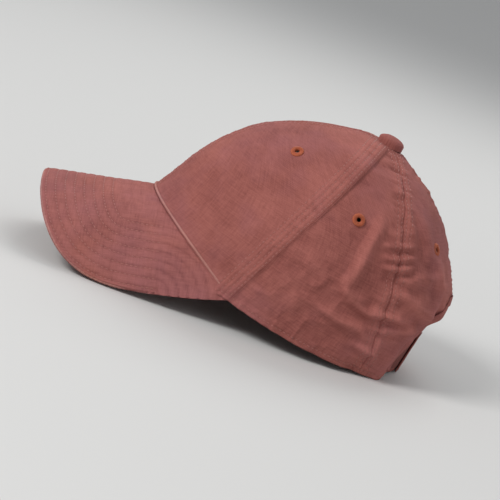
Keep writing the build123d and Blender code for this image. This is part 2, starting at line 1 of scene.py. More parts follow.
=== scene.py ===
"""Looks of the bump cap: washed cotton twill, stitching, eyelets, sweatband, insert and pads.

The cloth is drawn in the wearer's frame of the design, in millimetres: x to the wearer's left,
y to the rear, z up, origin between the rear ends of the bill.  The same egg-shaped sections give
the crown as in the design: a place is a turn (0 at the rear, pi / 2 left, pi at the front) and a
level (the number of a section, from below).  rest_place() turns it into the row frame.
"""
import json
from math import acos, cos, pi, radians, sin

import bpy
import numpy as np
from mathutils import Matrix, Vector


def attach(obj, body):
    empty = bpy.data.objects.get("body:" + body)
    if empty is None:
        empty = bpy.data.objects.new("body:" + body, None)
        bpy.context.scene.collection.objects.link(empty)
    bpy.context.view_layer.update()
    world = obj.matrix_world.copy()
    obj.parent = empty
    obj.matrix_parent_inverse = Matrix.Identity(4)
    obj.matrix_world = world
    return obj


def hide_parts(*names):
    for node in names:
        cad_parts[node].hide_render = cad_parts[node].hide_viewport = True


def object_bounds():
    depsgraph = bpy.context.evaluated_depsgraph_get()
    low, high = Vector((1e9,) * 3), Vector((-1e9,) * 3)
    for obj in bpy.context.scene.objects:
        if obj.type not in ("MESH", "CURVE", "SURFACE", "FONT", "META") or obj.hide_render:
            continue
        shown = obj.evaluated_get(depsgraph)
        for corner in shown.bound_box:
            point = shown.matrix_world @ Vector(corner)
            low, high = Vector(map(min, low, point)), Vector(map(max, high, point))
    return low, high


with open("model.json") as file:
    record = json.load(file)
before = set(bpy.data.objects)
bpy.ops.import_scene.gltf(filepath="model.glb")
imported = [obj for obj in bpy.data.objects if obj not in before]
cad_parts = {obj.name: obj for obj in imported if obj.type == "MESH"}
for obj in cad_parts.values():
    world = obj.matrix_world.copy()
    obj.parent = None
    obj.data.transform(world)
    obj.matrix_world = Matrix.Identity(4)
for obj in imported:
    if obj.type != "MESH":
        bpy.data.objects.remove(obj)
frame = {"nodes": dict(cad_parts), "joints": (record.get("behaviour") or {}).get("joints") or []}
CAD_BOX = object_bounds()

JOINTS = {joint["name"]: joint for joint in frame["joints"]}
NODES = frame["nodes"]

# ---- sizes of the design, in millimetres and degrees ---------------------------------------------
CROWN_LENGTH = 211.0
CROWN_WIDTH = 156.6
CROWN_HEIGHT = 128.8
BUTTON_Y = 0.2417 * CROWN_LENGTH
FABRIC = 1.2
FRONT_SEAM = (83.2, 18.0)  # bearing from straight ahead, and lean back
REAR_SEAM = (109.2, -9.7)
BILL_LENGTH = 74.0
BILL_DROP = radians(20.0)
BILL_SEAT_Z = 29.9
BILL_FLARE = 3.0
BILL_WIDEST = 10.0
BILL_COVER = 0.8
BILL_THICKNESS = 4.2
HEM_DIP = 3.5
HEM_REAR = 2.0
ARCH_HALF_WIDTH = 50.0
ARCH_TOP_Z = 54.0
STRAP_HEIGHT = 30.0
STRAP = 0.9
STRAP_AXIS_Y = 0.6317 * CROWN_LENGTH - 0.468 * CROWN_WIDTH
STRAP_IN = 3.6
STRAP_LEAN = radians(3.0)
STRAP_LAYERS = 2.2  # the left strap lies this far inside the right one
SHELL_SIDE_IN = 5.2
SHELL_REAR_MORE = 2.2
SHELL_TOP_MORE = 2.0
PAD_IN_SHELL = 2.9
PAD = 5.0
EYELET_RADIUS = 4.3
EYELET_HOLE_RADIUS = 1.5
EYELET_THREADS = 44
# Sections from below: y and z of the front end and the rear end, width and egg shape, as shares.
STATIONS = np.array([
    (-0.391, -0.064, 0.605, -0.272, 0.960, 0.12),
    (-0.359, 0.144, 0.625, 0.000, 0.994, 0.12),
    (-0.315, 0.336, 0.642, 0.272, 1.000, 0.11),
    (-0.261, 0.528, 0.622, 0.480, 0.967, 0.10),
    (-0.198, 0.675, 0.571, 0.640, 0.881, 0.08),
    (-0.119, 0.800, 0.498, 0.776, 0.737, 0.06),
    (0.000, 0.908, 0.410, 0.880, 0.526, 0.04),
    (0.122, 0.968, 0.332, 0.948, 0.276, 0.02),
    (0.205, 0.990, 0.279, 0.983, 0.100, 0.00),
    (0.228, 0.995, 0.256, 0.991, 0.038, 0.00),
])
TOP = len(STATIONS) - 1.0

# ---- looks, in millimetres -----------------------------------------------------------------------
STITCH = 2.3
STITCH_GAP = 0.7
THREAD_RADIUS = 0.36
BILL_ROW_SPACING = 6.2
BILL_ROWS = 8
FRONT_SEAM_ROWS = (1.6, 5.0, 8.6, 12.2)
SIDE_SEAM_ROWS = (-5.2, -1.7, 1.7, 5.2)
MIDDLE_SEAM_ROWS = (1.7, 5.2)
HEM_ROW = 3.2
FOLD_DEEPEST = 0.35
SKIN_DEEPEST = 0.95
LIMP_WITHIN = 16.0  # how far behind the front seam the cloth turns limp
WAVE_HEIGHT = 0.55
FIRM_SWELL = 0.5
FOLD_GAIN = 1.15
REAR_BULGE = 3.4
REAR_CRUMPLE = 2.6
FRONT_PROUD = 2.1  # how far the front panel stands off its seam
TURNED_EDGE = 0.4
SEAM_DIP = 0.95
STITCH_DIP = 0.42
SKIN_PUCKER = 0.85
FOLD_PUCKER = 0.9
HEM_FOLD = 0.3
HEM_DENT = 0.35
HEM_RIPPLE = 0.4
SLUBS = 0.10
FINE_SLUBS = 0.06
FAR = 99.0  # beyond every seam's band
BILL_FIRST_ROW = 3.4
BILL_RELIEF = 0.8
BILL_ROLL = 2.6  # how far in from its edge a bill cover curls
BILL_TUCK = 0.4
BUTTON_RADIUS = 8.9
BUTTON_BASE_Z = 0.995 * CROWN_HEIGHT + 0.2
BUTTON_SKIRT = 1.7
BUTTON_DOME = 3.9
BUTTON_TUCK = 3.2
BUTTON_SHOULDER = 0.8  # share of the way out at which the dome turns under
STRAP_ROW = 2.6

# ---- the row frame -------------------------------------------------------------------------------
UPRIGHT = np.array(JOINTS["strap_adjust"]["axis"])
REARWARD = np.array((0.0, UPRIGHT[2], -UPRIGHT[1]))
STRAP_MIDDLE_Z = (STRAP_HEIGHT - HEM_REAR) / 2
SHIFT = np.array(JOINTS["strap_adjust"]["pos_m"]) * 1000
SHIFT = SHIFT - REARWARD * STRAP_AXIS_Y - UPRIGHT * STRAP_MIDDLE_Z


def rest_place(points):
    """Points of the wearer's frame in millimetres, as points of the row frame in metres."""
    x, y, z = points[..., 0:1], points[..., 1:2], points[..., 2:3]
    across = np.array((1.0, 0.0, 0.0))
    return (x * across + y * REARWARD + z * UPRIGHT + SHIFT) / 1000


def rest_direction(direction):
    """Direction of the wearer's frame, as a unit vector of the row frame."""
    x, y, z = direction
    return Vector(x * np.array((1.0, 0.0, 0.0)) + y * REARWARD + z * UPRIGHT).normalized()


# ---- the crown -----------------------------------------------------------------------------------
def station(level):
    """Section at any level, by a smooth cubic curve through the stations."""
    level = np.clip(level, 0, TOP)
    k = np.minimum(level.astype(int), len(STATIONS) - 2)
    share = (level - k)[..., None]
    before = STATIONS[np.maximum(k - 1, 0)]
    low = STATIONS[k]
    high = STATIONS[k + 1]
    after = STATIONS[np.minimum(k + 2, len(STATIONS) - 1)]
    slope_low = (high - before) / 2
    slope_high = (after - low) / 2
    curve = 2 * low - 2 * high + slope_low + slope_high
    bend = -3 * low + 3 * high - 2 * slope_low - slope_high
    return ((curve * share + bend) * share + slope_low) * share + low


def crown(turn, level):
    """Plain crown: x = w sin a (1 + e cos a), and y and z run by cos a from rear to front."""
    turn, level = np.broadcast_arrays(np.asarray(turn, float), np.asarray(level, float))
    fy, fz, ry, rz, width, egg = np.moveaxis(station(level), -1, 0)
    ahead = np.cos(turn)
    return np.stack([
        width * CROWN_WIDTH / 2 * np.sin(turn) * (1 + egg * ahead),
        ((fy + ry) / 2 + (ry - fy) / 2 * ahead) * CROWN_LENGTH,
        ((fz + rz) / 2 + (rz - fz) / 2 * ahead) * CROWN_HEIGHT,
    ], axis=-1)


def unit(vectors):
    """Vectors at length one."""
    return vectors / np.maximum(np.linalg.norm(vectors, axis=-1, keepdims=True), 1e-9)


def crown_outward(turn, level):
    """Outward direction: the rise of a column crossed with the run of a section."""
    step = 0.01
    around = crown(turn + step, level) - crown(turn - step, level)
    upward = crown(turn, np.minimum(level + step, TOP)) - crown(turn, np.maximum(level - step, 0))
    return unit(np.cross(upward, around))


def solve(function, low, high):
    """Places where a function that starts below zero becomes zero, by halving."""
    for _ in range(40):
        middle = (low + high) / 2
        below = function(middle) < 0
        low = np.where(below, middle, low)
        high = np.where(below, high, middle)
    return (low + high) / 2


def number(function, low, high):
    """One place where a rising function becomes zero."""
    return float(solve(function, np.array(float(low)), np.array(float(high))))


# ---- the bill's cylinder -------------------------------------------------------------------------
FORWARD = np.array((0.0, -cos(BILL_DROP), -sin(BILL_DROP)))
UPWARD = np.array((0.0, -sin(BILL_DROP), cos(BILL_DROP)))
SEAT = crown(pi, number(lambda k: crown(pi, k)[..., 2] - BILL_SEAT_Z, 0, TOP))


def turn_at_y(level, y):
    """Turn on the left where a level's section passes a given y."""
    return solve(lambda a: y - crown(a, level)[..., 1], np.zeros_like(level), np.full_like(level, pi))


HORN_LEVEL = number(lambda k: crown(turn_at_y(k, 0.0), k)[..., 2], 0, TOP)
HORN_TURN = float(turn_at_y(np.array(HORN_LEVEL), 0.0))
HORN = crown(HORN_TURN, HORN_LEVEL)
HORN_DROP = float(-(HORN - SEAT) @ UPWARD)
HORN_BACK = float((HORN - SEAT) @ FORWARD)
BILL_RADIUS = float((HORN[0] ** 2 + HORN_DROP**2) / (2 * HORN_DROP))
HORN_ARC = BILL_RADIUS * acos(1 - HORN_DROP / BILL_RADIUS)


def above_bill(points, depth):
    """Height of points over the bill at a depth under its top."""
    up = (points - SEAT) @ UPWARD + BILL_RADIUS
    return np.hypot(points[..., 0], up) - (BILL_RADIUS - depth)


def bill_point(arc, ahead, depth):
    """Point of the bill from its flat pattern: arc length across, distance ahead, and depth."""
    angle = arc / BILL_RADIUS
    radius = BILL_RADIUS - depth
    up = radius * np.cos(angle) - BILL_RADIUS
    side = radius * np.sin(angle)
    return SEAT + ahead[..., None] * FORWARD + up[..., None] * UPWARD + side[..., None] * (1, 0, 0)


# ---- edges and seams of the crown ----------------------------------------------------------------
def hem_height(y):
    """Height of the hem behind the bill's ends: a shallow sine dip."""
    share = np.clip(y / (0.6 * CROWN_LENGTH), 0, 1)
    return -HEM_DIP * np.sin(pi * share) ** 0.7 * (1 - 0.2 * share) - HEM_REAR * share


def arch_height(x):
    """Height of the rear opening over its width: a squarish half ellipse."""
    share = np.abs(x) / ARCH_HALF_WIDTH
    rise = (ARCH_TOP_Z + HEM_DIP) * np.sqrt(np.maximum(1 - share**2.8, 0))
    return np.where(share < 1, -HEM_DIP + rise, -CROWN_HEIGHT)


def clear_of_edges(points):
    """How far points of the crown are above the bill's underside, the hem and the rear arch."""
    gap = points[..., 2] - hem_height(points[..., 1])
    over_bill = (points - SEAT) @ FORWARD > HORN_BACK
    gap = np.where(over_bill, np.minimum(gap, above_bill(points, BILL_THICKNESS)), gap)
    rear = points[..., 1] > STRAP_AXIS_Y
    arch = points[..., 2] - arch_height(points[..., 0])
    return np.where(rear, np.minimum(gap, arch), gap)


def seam_normal(bearing, lean):
    """Square to a left seam's plane, pointing to its rear."""
    b, t = radians(bearing), radians(lean)
    return np.array((cos(b) * cos(t), sin(b) * cos(t), -sin(t)))


BUTTON_PLACE = np.array((0.0, BUTTON_Y, 0.993 * CROWN_HEIGHT))
FRONT_NORMAL = seam_normal(*FRONT_SEAM)
REAR_NORMAL = seam_normal(*REAR_SEAM)
TABLE_LEVELS = np.linspace(0, TOP, 500)


def seam_table(normal, shift):
    """Function from level to the turn of a left seam's plane, moved to the front by a shift."""
    turns = solve(lambda a: -(crown(a, TABLE_LEVELS) - BUTTON_PLACE) @ normal - shift,
                  np.zeros_like(TABLE_LEVELS), np.full_like(TABLE_LEVELS, pi))
    return lambda level: np.interp(level, TABLE_LEVELS, turns)


def middle_table(front, shift):
    """Function from level to the turn of the front or rear middle seam, moved to the left."""
    reach = np.maximum(station(TABLE_LEVELS)[..., 4] * CROWN_WIDTH / 2, 1.5 * abs(shift))
    turns = pi - shift / reach if front else shift / reach
    return lambda level: np.interp(level, TABLE_LEVELS, turns)


PROFILE = crown(np.full_like(TABLE_LEVELS, pi / 2), TABLE_LEVELS)
PROFILE_LENGTH = np.append(0, np.cumsum(np.linalg.norm(np.diff(PROFILE, axis=0), axis=1)))
SECTION_REACH = station(TABLE_LEVELS)[:, 4] * CROWN_WIDTH / 2


# ---- shapes of the cloth's surface ---------------------------------------------------------------
def noise(points, size, seed):
    """Smooth random heights from -1 to 1: values on a cubic lattice, joined by smooth steps."""
    place = points / size + seed * 7.31
    cell = np.floor(place).astype(np.int64)
    share = place - cell
    share = share * share * (3 - 2 * share)
    total = np.zeros(points.shape[:-1])
    for corner in np.ndindex(2, 2, 2):
        c = cell + np.array(corner)
        code = (c[..., 0] * 73856093) ^ (c[..., 1] * 19349663) ^ (c[..., 2] * 83492791)
        code = (code & 0xFFFFFF) * 1274126177 & 0xFFFFFFFF
        value = ((code ^ (code >> 16)) & 0xFFFF) / 32767.5 - 1
        total += value * np.prod(np.where(corner, share, 1 - share), axis=-1)
    return total


def bell(distance, width):
    """Bell curve of height one."""
    return np.exp(-(distance / width) ** 2)


def ramp(value, start, end):
    """Smooth step from 0 at the start to 1 at the end."""
    share = np.clip((value - start) / (end - start), 0, 1)
    return share * share * (3 - 2 * share)


# Folds of the soft rear half, lower on the right: start and end as (y, z), height and width.
FOLDS = [
    ((62, 88), (61, 46), 3.4, 4.6),
    ((59, 43), (76, 41), 2.2, 2.6),
    ((70, 78), (90, 83), 2.0, 2.0),
    ((74, 72), (92, 77), 1.9, 1.9),
    ((77, 67), (94, 72), 2.1, 2.1),
    ((62, 40), (87, 33), 2.8, 3.0),
    ((84, 36), (106, 40), 2.6, 2.6),
    ((56, 26), (88, 21), 2.6, 3.4),
    ((94, 27), (113, 35), 2.4, 2.8),
    ((83, 13), (99, 11), 2.0, 2.6),
    ((88, 102), (107, 78), 1.5, 3.4),
    ((109, 82), (122, 62), 2.0, 3.6),
    ((97, 54), (121, 42), 2.6, 3.6),
    ((90, 62), (114, 69), 1.6, 4.0),
    ((20, 56), (10, 10), 1.5, 5.5),
    ((38, 25), (41, 5), 1.4, 4.5),
    ((30, 52), (46, 40), 1.2, 5.0),
    ((75, 105), (87, 88), 1.5, 3.0),
]


def fold_heights(points):
    """Soft ridges along the folds: a bell across each, faded at its ends and bent by noise."""
    side = np.where(points[..., 0] > 0, 1.0, 0.75)
    bend = 3.0 * noise(points, 19.0, 31)
    total = np.zeros(points.shape[:-1])
    for start, end, height, width in FOLDS:
        start, run = np.array(start, float), np.subtract(end, start).astype(float)
        length = np.linalg.norm(run)
        gap = points[..., 1:] - start
        share = gap @ run / length**2
        across = (gap[..., 0] * run[1] - gap[..., 1] * run[0]) / length + bend
        ends = ramp(share, -0.25, 0.2) * (1 - ramp(share, 0.75, 1.25))
        total += height * side * ends * bell(across, width)
        total -= 0.35 * height * side * ends * bell(across - 1.7 * width, width)
    return total * ramp(np.abs(points[..., 0]), 22, 40)


def crown_relief(points, level):
    """Heights of the cloth over the plain crown: (folds of the whole cloth, its outside only).

    The front panels are firm; the side and rear panels are limp and crumpled.  The front panel
    stands proud of its seam.  Along each seam the cloth rises over the turned edges, dips at the
    seam and at each row of stitches, and puckers between them.
    """
    mirrored = points.copy()
    mirrored[..., 0] = np.abs(points[..., 0])
    front = -(mirrored - BUTTON_PLACE) @ FRONT_NORMAL
    rear = -(mirrored - BUTTON_PLACE) @ REAR_NORMAL
    middle = mirrored[..., 0]
    ahead = front > 0
    behind = rear < 0
    length = np.interp(level, TABLE_LEVELS, PROFILE_LENGTH)
    edge = clear_of_edges(points)
    away_from_top = 1 - ramp(level, TOP - 2.2, TOP - 0.9)
    limp = ramp(-front, 0, LIMP_WITHIN)
    low = 1 - ramp(points[..., 2], 18, 85)
    beside_middle = np.where(middle > 3, 1.0, 0.0)

    rear_low = ramp(points[..., 1], 72, 108) * (1 - ramp(points[..., 2], 48, 84))
    waves = 1.3 * noise(points, 34.0, 1) + 0.8 * noise(points, 17.0, 2)
    crumple = 1 - 2.6 * np.abs(noise(points * (0.8, 1, 1.3), 13.0, 3))
    folds = limp * away_from_top * (WAVE_HEIGHT * waves + (0.2 + 0.8 * low) * crumple)
    folds = folds + (1 - limp) * away_from_top * FIRM_SWELL * noise(points, 46.0, 4)
    folds = folds + FOLD_GAIN * limp * fold_heights(points)
    folds = folds + rear_low * (REAR_BULGE + REAR_CRUMPLE * noise(points, 10.0, 5))
    proud = np.where(ahead, bell(front, 20.0), bell(front, 1.1))
    upper = 0.6 + 0.4 * ramp(points[..., 2], 60, 100)
    folds = folds + FRONT_PROUD * upper * proud * away_from_top * beside_middle

    skin = np.zeros(points.shape[:-1])
    seams = [  # distance from it, rows of stitches, start and reach of its band, pucker, seed
        (np.where(front > -30, front, FAR), FRONT_SEAM_ROWS, -0.5, 14.0, 0.65, 11),
        (rear, SIDE_SEAM_ROWS, -7.0, 7.0, 1.25, 12),
        (np.where(ahead, middle, FAR), MIDDLE_SEAM_ROWS, -7.0, 7.0, 0.3, 13),
        (np.where(behind, middle, FAR), MIDDLE_SEAM_ROWS, -7.0, 7.0, 0.9, 14),
    ]
    for distance, rows, start, reach, pucker, seed in seams:
        run = np.stack([length, 0.25 * distance, np.sign(points[..., 0]) * 20], axis=-1)
        band = (1 - ramp(np.abs(distance), reach - 1.5, reach)) * (distance > start)
        skin += TURNED_EDGE * band - SEAM_DIP * bell(distance, 0.8)
        for row in rows:
            skin -= STITCH_DIP * bell(distance - row, 0.7)
        ripple = noise(run, 4.4, seed) + 0.6 * noise(run, 2.3, seed + 40)
        skin += pucker * SKIN_PUCKER * ripple * bell(np.abs(distance) - 4.5, 5.5)
        swell = pucker * FOLD_PUCKER * noise(run, 9.5, seed + 20) * bell(distance, 12.0)
        folds = folds + swell * away_from_top
    around = np.stack([points[..., 0], points[..., 1], np.zeros_like(length)], axis=-1)
    hem_band = 1 - ramp(edge, 5.5, 7.0)
    skin += HEM_FOLD * hem_band - HEM_DENT * bell(edge - HEM_ROW, 0.6)
    skin += HEM_RIPPLE * limp * noise(around, 4.2, 51) * bell(edge - 3, 6.0)
    rear_share = ramp(points[..., 1], 70, 105)
    folds = folds + (0.6 + 1.9 * rear_share) * limp * noise(around, 8.0, 52) * bell(edge, 13.0)
    skin = skin * away_from_top
    skin = skin + SLUBS * noise(points, 2.6, 61) + FINE_SLUBS * noise(points, 1.3, 62)
    return np.maximum(folds, -FOLD_DEEPEST), np.maximum(skin, -SKIN_DEEPEST)


def cloth_place(turn, level, depth, outside=True):
    """Place on the crown's cloth, at a depth in it; the outside also has its stitched relief."""
    turn, level = np.broadcast_arrays(np.asarray(turn, float), np.asarray(level, float))
    plain = crown(turn, level)
    folds, skin = crown_relief(plain, level)
    height = folds - depth + (skin if outside else 0)
    return plain + height[..., None] * crown_outward(turn, level), skin + 0.25 * folds


# ---- meshes --------------------------------------------------------------------------------------
def net_faces(rows, columns, ring=False, loop=False):
    """Cells of one net as four-sided faces; a ring joins its last column on, a loop its last row."""
    index = np.arange(rows * columns).reshape(rows, columns)
    if loop:
        index = np.vstack([index, index[:1]])
    if ring:
        index = np.hstack([index, index[:, :1]])
    return np.stack([index[:-1, :-1], index[:-1, 1:], index[1:, 1:], index[1:, :-1]], axis=-1)


def two_layers(rows, columns, ring=False, holes=None):
    """Closed faces of two equal nets: both sides, and a wall at each edge and hole."""
    cells = net_faces(rows, columns, ring)
    kept = cells.reshape(-1, 4) if holes is None else cells[~holes]
    starts = kept.reshape(-1)
    ends = np.roll(kept, -1, axis=1).reshape(-1)
    total = rows * columns
    lonely = ~np.isin(starts * total + ends, ends * total + starts)
    p, q = starts[lonely], ends[lonely]
    walls = np.stack([q, p, p + total, q + total], axis=-1)
    return np.vstack([kept, kept[:, ::-1] + total, walls])


def volume_of(points, faces):
    """Signed volume inside closed faces, positive when they face outward."""
    a, b, c, d = (points[faces[:, i]] for i in range(4))
    first = np.einsum("ij,ij->i", a, np.cross(b, c))
    return (first + np.einsum("ij,ij->i", a, np.cross(c, d))).sum() / 6


def make_piece(name, points, faces, material, cloth=None, wear=None, body="cap", replaces=()):
    """Smooth mesh from points of the wearer's frame, with its cloth coordinates and wear.

    An array of four-sided faces is turned outward; a list of mixed faces is outward already.
    """
    points = rest_place(np.asarray(points, float).reshape(-1, 3))
    if isinstance(faces, np.ndarray):
        inside_out = volume_of(points, faces) < 0
        faces = (faces[:, ::-1] if inside_out else faces).tolist()
    mesh = bpy.data.meshes.new(name)
    mesh.from_pydata(points.tolist(), [], faces)
    if cloth is not None:
        layer = mesh.attributes.new("cloth", "FLOAT_VECTOR", "POINT")
        flat = np.zeros((len(points), 3), np.float32)
        flat[:, :2] = np.asarray(cloth, float).reshape(-1, 2)
        layer.data.foreach_set("vector", flat.ravel())
    if wear is not None:
        layer = mesh.attributes.new("wear", "FLOAT", "POINT")
        layer.data.foreach_set("value", np.asarray(wear, np.float32).ravel())
    mesh.polygons.foreach_set("use_smooth", np.ones(len(mesh.polygons), bool))
    mesh.materials.append(material)
    mesh.validate()
    obj = bpy.data.objects.new(name, mesh)
    bpy.context.scene.collection.objects.link(obj)
    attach(obj, body)
    if replaces:
        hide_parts(*replaces)
    return obj


def doubled(first, second):
    """Values of two equal nets, one after the other."""
    return np.concatenate([np.asarray(first).reshape(-1, *np.shape(first)[2:]),
                           np.asarray(second).reshape(-1, *np.shape(second)[2:])])


# ---- materials -----------------------------------------------------------------------------------
class Nodes:
    """Short way to add and join the nodes of one material."""

    def __init__(self, name):
        self.material = bpy.data.materials.new(name)
        self.material.use_nodes = True
        self.tree = self.material.node_tree
        self.shader = self.tree.nodes["Principled BSDF"]

    def add(self, kind, inputs=(), **settings):
        """Node of a kind, with its settings, and its inputs as values or as sockets."""
        node = self.tree.nodes.new(kind)
        for key, value in settings.items():
            setattr(node, key, value)
        for key, value in dict(inputs).items():
            if isinstance(value, bpy.types.NodeSocket):
                self.tree.links.new(value, node.inputs[key])
            else:
                node.inputs[key].default_value = value
        return node

    def math(self, operation, first, second=0.0, clamp=False):
        """Result of a sum on two values or sockets."""
        node = self.add("ShaderNodeMath", {0: first, 1: second}, operation=operation)
        node.use_clamp = clamp
        return node.outputs[0]

    def mix(self, share, first, second):
        """Colour between two colours."""
        node = self.add("ShaderNodeMix", data_type="RGBA", blend_type="MIX")
        for socket, value in ((node.inputs[0], share), (node.inputs[6], first),
                              (node.inputs[7], second)):
            if isinstance(value, bpy.types.NodeSocket):
                self.tree.links.new(value, socket)
            else:
                socket.default_value = value
        return node.outputs[2]

    def noise(self, vector, scale, detail=3.0, roughness=0.55):
        """Height of a noise texture."""
        node = self.add("ShaderNodeTexNoise",
                        {"Vector": vector, "Scale": scale, "Detail": detail, "Roughness": roughness})
        return node.outputs[0]

    def stretch(self, vector, sizes):
        """Vector times three sizes."""
        node = self.add("ShaderNodeVectorMath", {0: vector, 1: sizes}, operation="MULTIPLY")
        return node.outputs[0]

    def finish(self, color, roughness, bump=None, distance=0.0002, strength=0.6, **inputs):
        """Joins the colour, roughness and bump to the shader."""
        wanted = {"Base Color": color, "Roughness": roughness}
        wanted.update({key.replace("_", " "): value for key, value in inputs.items()})
        if bump is not None:
            node = self.add("ShaderNodeBump",
                            {"Height": bump, "Distance": distance, "Strength": strength})
            wanted["Normal"] = node.outputs[0]
        for key, value in wanted.items():
            if isinstance(value, bpy.types.NodeSocket):
                self.tree.links.new(value, self.shader.inputs[key])
            else:
                self.shader.inputs[key].default_value = value
        return self.material


def shade(color, factor):
    """Colour made lighter or darker, as four numbers."""
    return (*[min(c * factor, 1.0) for c in color[:3]], 1.0)


THREAD_TONE = 0.95  # how much each part of the cloth's pattern shows in its colour
RIB_TONE = 0.07
BLOTCH_TONE = 1.1
FUZZ_TONE = 0.5
WEAR_TONE = 0.42
PLAIN_TONE = 0.37
MAUVE_SHARE = 0.6


def twill(name, color, weave=1.1, contrast=1.0):
    """Washed twill: diagonal ribs, slubby threads, blotches of the wash and paler worn ridges."""
    n = Nodes(name)
    cloth = n.add("ShaderNodeAttribute", attribute_name="cloth").outputs["Vector"]
    wear = n.add("ShaderNodeAttribute", attribute_name="wear").outputs["Fac"]
    place = n.add("ShaderNodeTexCoord").outputs["Object"]
    axes = n.add("ShaderNodeSeparateXYZ", {0: cloth})
    wobble = n.math("MULTIPLY", n.noise(cloth, 0.35, 2.0), 1.6)
    slope = n.math("ADD", n.math("ADD", axes.outputs[0], axes.outputs[1]), wobble)
    ribs = n.math("SINE", n.math("MULTIPLY", slope, 2 * pi / weave))
    weft = n.noise(n.stretch(cloth, (0.09, 0.95, 1.0)), 1.0, 4.0, 0.72)
    warp = n.noise(n.stretch(cloth, (0.95, 0.09, 1.0)), 1.0, 4.0, 0.72)
    threads = n.math("ADD", weft, warp)
    fuzz = n.noise(cloth, 1.9, 3.0, 0.7)
    blotch = n.noise(place, 34.0, 5.0, 0.62)
    faded = n.noise(place, 19.0, 3.0, 0.6)
    tone = n.math("ADD", n.math("MULTIPLY", n.math("SUBTRACT", threads, 1.0), THREAD_TONE * contrast),
                  n.math("MULTIPLY", ribs, RIB_TONE * contrast))
    tone = n.math("ADD", tone, n.math("MULTIPLY", n.math("SUBTRACT", blotch, 0.5), BLOTCH_TONE))
    fuzzy = n.math("MULTIPLY", n.math("SUBTRACT", fuzz, 0.5), FUZZ_TONE * contrast)
    tone = n.math("ADD", tone, fuzzy)
    worn = n.math("MULTIPLY", wear, WEAR_TONE)
    share = n.math("ADD", n.math("ADD", tone, worn), PLAIN_TONE, clamp=True)
    dark = shade((color[0] * 0.94, color[1] * 0.84, color[2] * 0.84), 0.62)
    pale = shade((color[0], color[1] * 1.13, color[2] * 1.1), 1.36)
    mauve = shade((color[0] * 0.9, color[1] * 1.1, color[2] * 1.45), 1.0)
    mixed = n.mix(share, dark, pale)
    fade_share = n.math("MULTIPLY", n.math("SUBTRACT", faded, 0.42), 3.2, clamp=True)
    mauves = n.mix(share, shade(mauve, 0.7), shade(mauve, 1.25))
    mixed = n.mix(n.math("MULTIPLY", fade_share, MAUVE_SHARE), mixed, mauves)
    height = n.math("ADD", n.math("MULTIPLY", ribs, 0.22), n.math("MULTIPLY", threads, 1.2))
    height = n.math("ADD", height, n.math("MULTIPLY", fuzz, 0.8))
    return n.finish(mixed, 0.92, height, 0.0004, 0.55, Sheen_Weight=0.25, Sheen_Roughness=0.55,
                    Sheen_Tint=shade((color[0], color[1] * 1.3, color[2] * 1.35), 1.35),
                    Specular_IOR_Level=0.2)


def thread(name, color, sheen=0.3):
    """Twisted cotton thread with a soft shine."""
    n = Nodes(name)
    place = n.add("ShaderNodeTexCoord").outputs["Object"]
    blotch = n.noise(place, 260.0, 2.0)
    color_out = n.mix(blotch, shade(color, 0.72), shade(color, 1.25))
    twist = n.noise(place, 2600.0, 1.0)
    return n.finish(color_out, 0.62, twist, 0.0001, 0.5, Sheen_Weight=sheen)


def speckled(name, color, roughness, scale, bump, distance, strength=0.4, spread=0.12):
    """Plain stuff with fine mottling: foam, plastic, tape or metal."""
    n = Nodes(name)
    place = n.add("ShaderNodeTexCoord").outputs["Object"]
    grain = n.noise(place, scale, 4.0, 0.65)
    blotch = n.noise(place, 22.0, 3.0)
    share = n.math("ADD", n.math("MULTIPLY", grain, 0.6), n.math("MULTIPLY", blotch, 0.4))
    mixed = n.mix(share, shade(color, 1 - spread * 2), shade(color, 1 + spread * 2))
    return n.finish(mixed, roughness, grain if bump else None, distance, strength)


SALMON = (0.285, 0.085, 0.072)
CLOTH = twill("crown_twill", SALMON)
BILL_CLOTH = twill("bill_twill", (0.288, 0.087, 0.073), weave=1.2, contrast=1.1)
UNDER_CLOTH = twill("under_bill_twill", (0.265, 0.08, 0.067), weave=1.2)
BAND_CLOTH = twill("sweatband_twill", (0.285, 0.092, 0.077), weave=0.9, contrast=0.8)
STRAP_CLOTH = twill("strap_twill", (0.262, 0.077, 0.064), weave=1.0)
PIPING = twill("piping_twill", (0.36, 0.14, 0.115), weave=0.9)
THREAD = thread("seam_thread", (0.33, 0.108, 0.085))
EYELET_THREAD = thread("eyelet_thread", (0.40, 0.085, 0.028), 0.15)
TAPE = speckled("cotton_tape", (0.40, 0.17, 0.14), 0.9, 900.0, True, 0.0003)
BACKING_CLOTH = speckled("stiff_backing", (0.66, 0.6, 0.52), 0.9, 1200.0, True, 0.0003)
FOAM = speckled("closed_cell_foam", (0.035, 0.035, 0.04), 0.85, 1500.0, True, 0.0004, 0.6)
SHELL_PLASTIC = speckled("insert_plastic", (0.05, 0.052, 0.056), 0.42, 2400.0, True, 0.00006, 0.3)
BOARD_PLASTIC = speckled("bill_board_plastic", (0.7, 0.69, 0.66), 0.5, 600.0, False, 0.0001)
NYLON = speckled("hook_and_loop_nylon", (0.22, 0.062, 0.05), 0.95, 2600.0, True, 0.0006, 1.0, 0.25)
LABEL = speckled("blank_label", (0.72, 0.69, 0.64), 0.8, 1800.0, True, 0.0002)
STEEL = speckled("pressed_steel", (0.55, 0.55, 0.56), 0.35, 900.0, False, 0.0001)
STEEL.node_tree.nodes["Principled BSDF"].inputs["Metallic"].default_value = 1.0


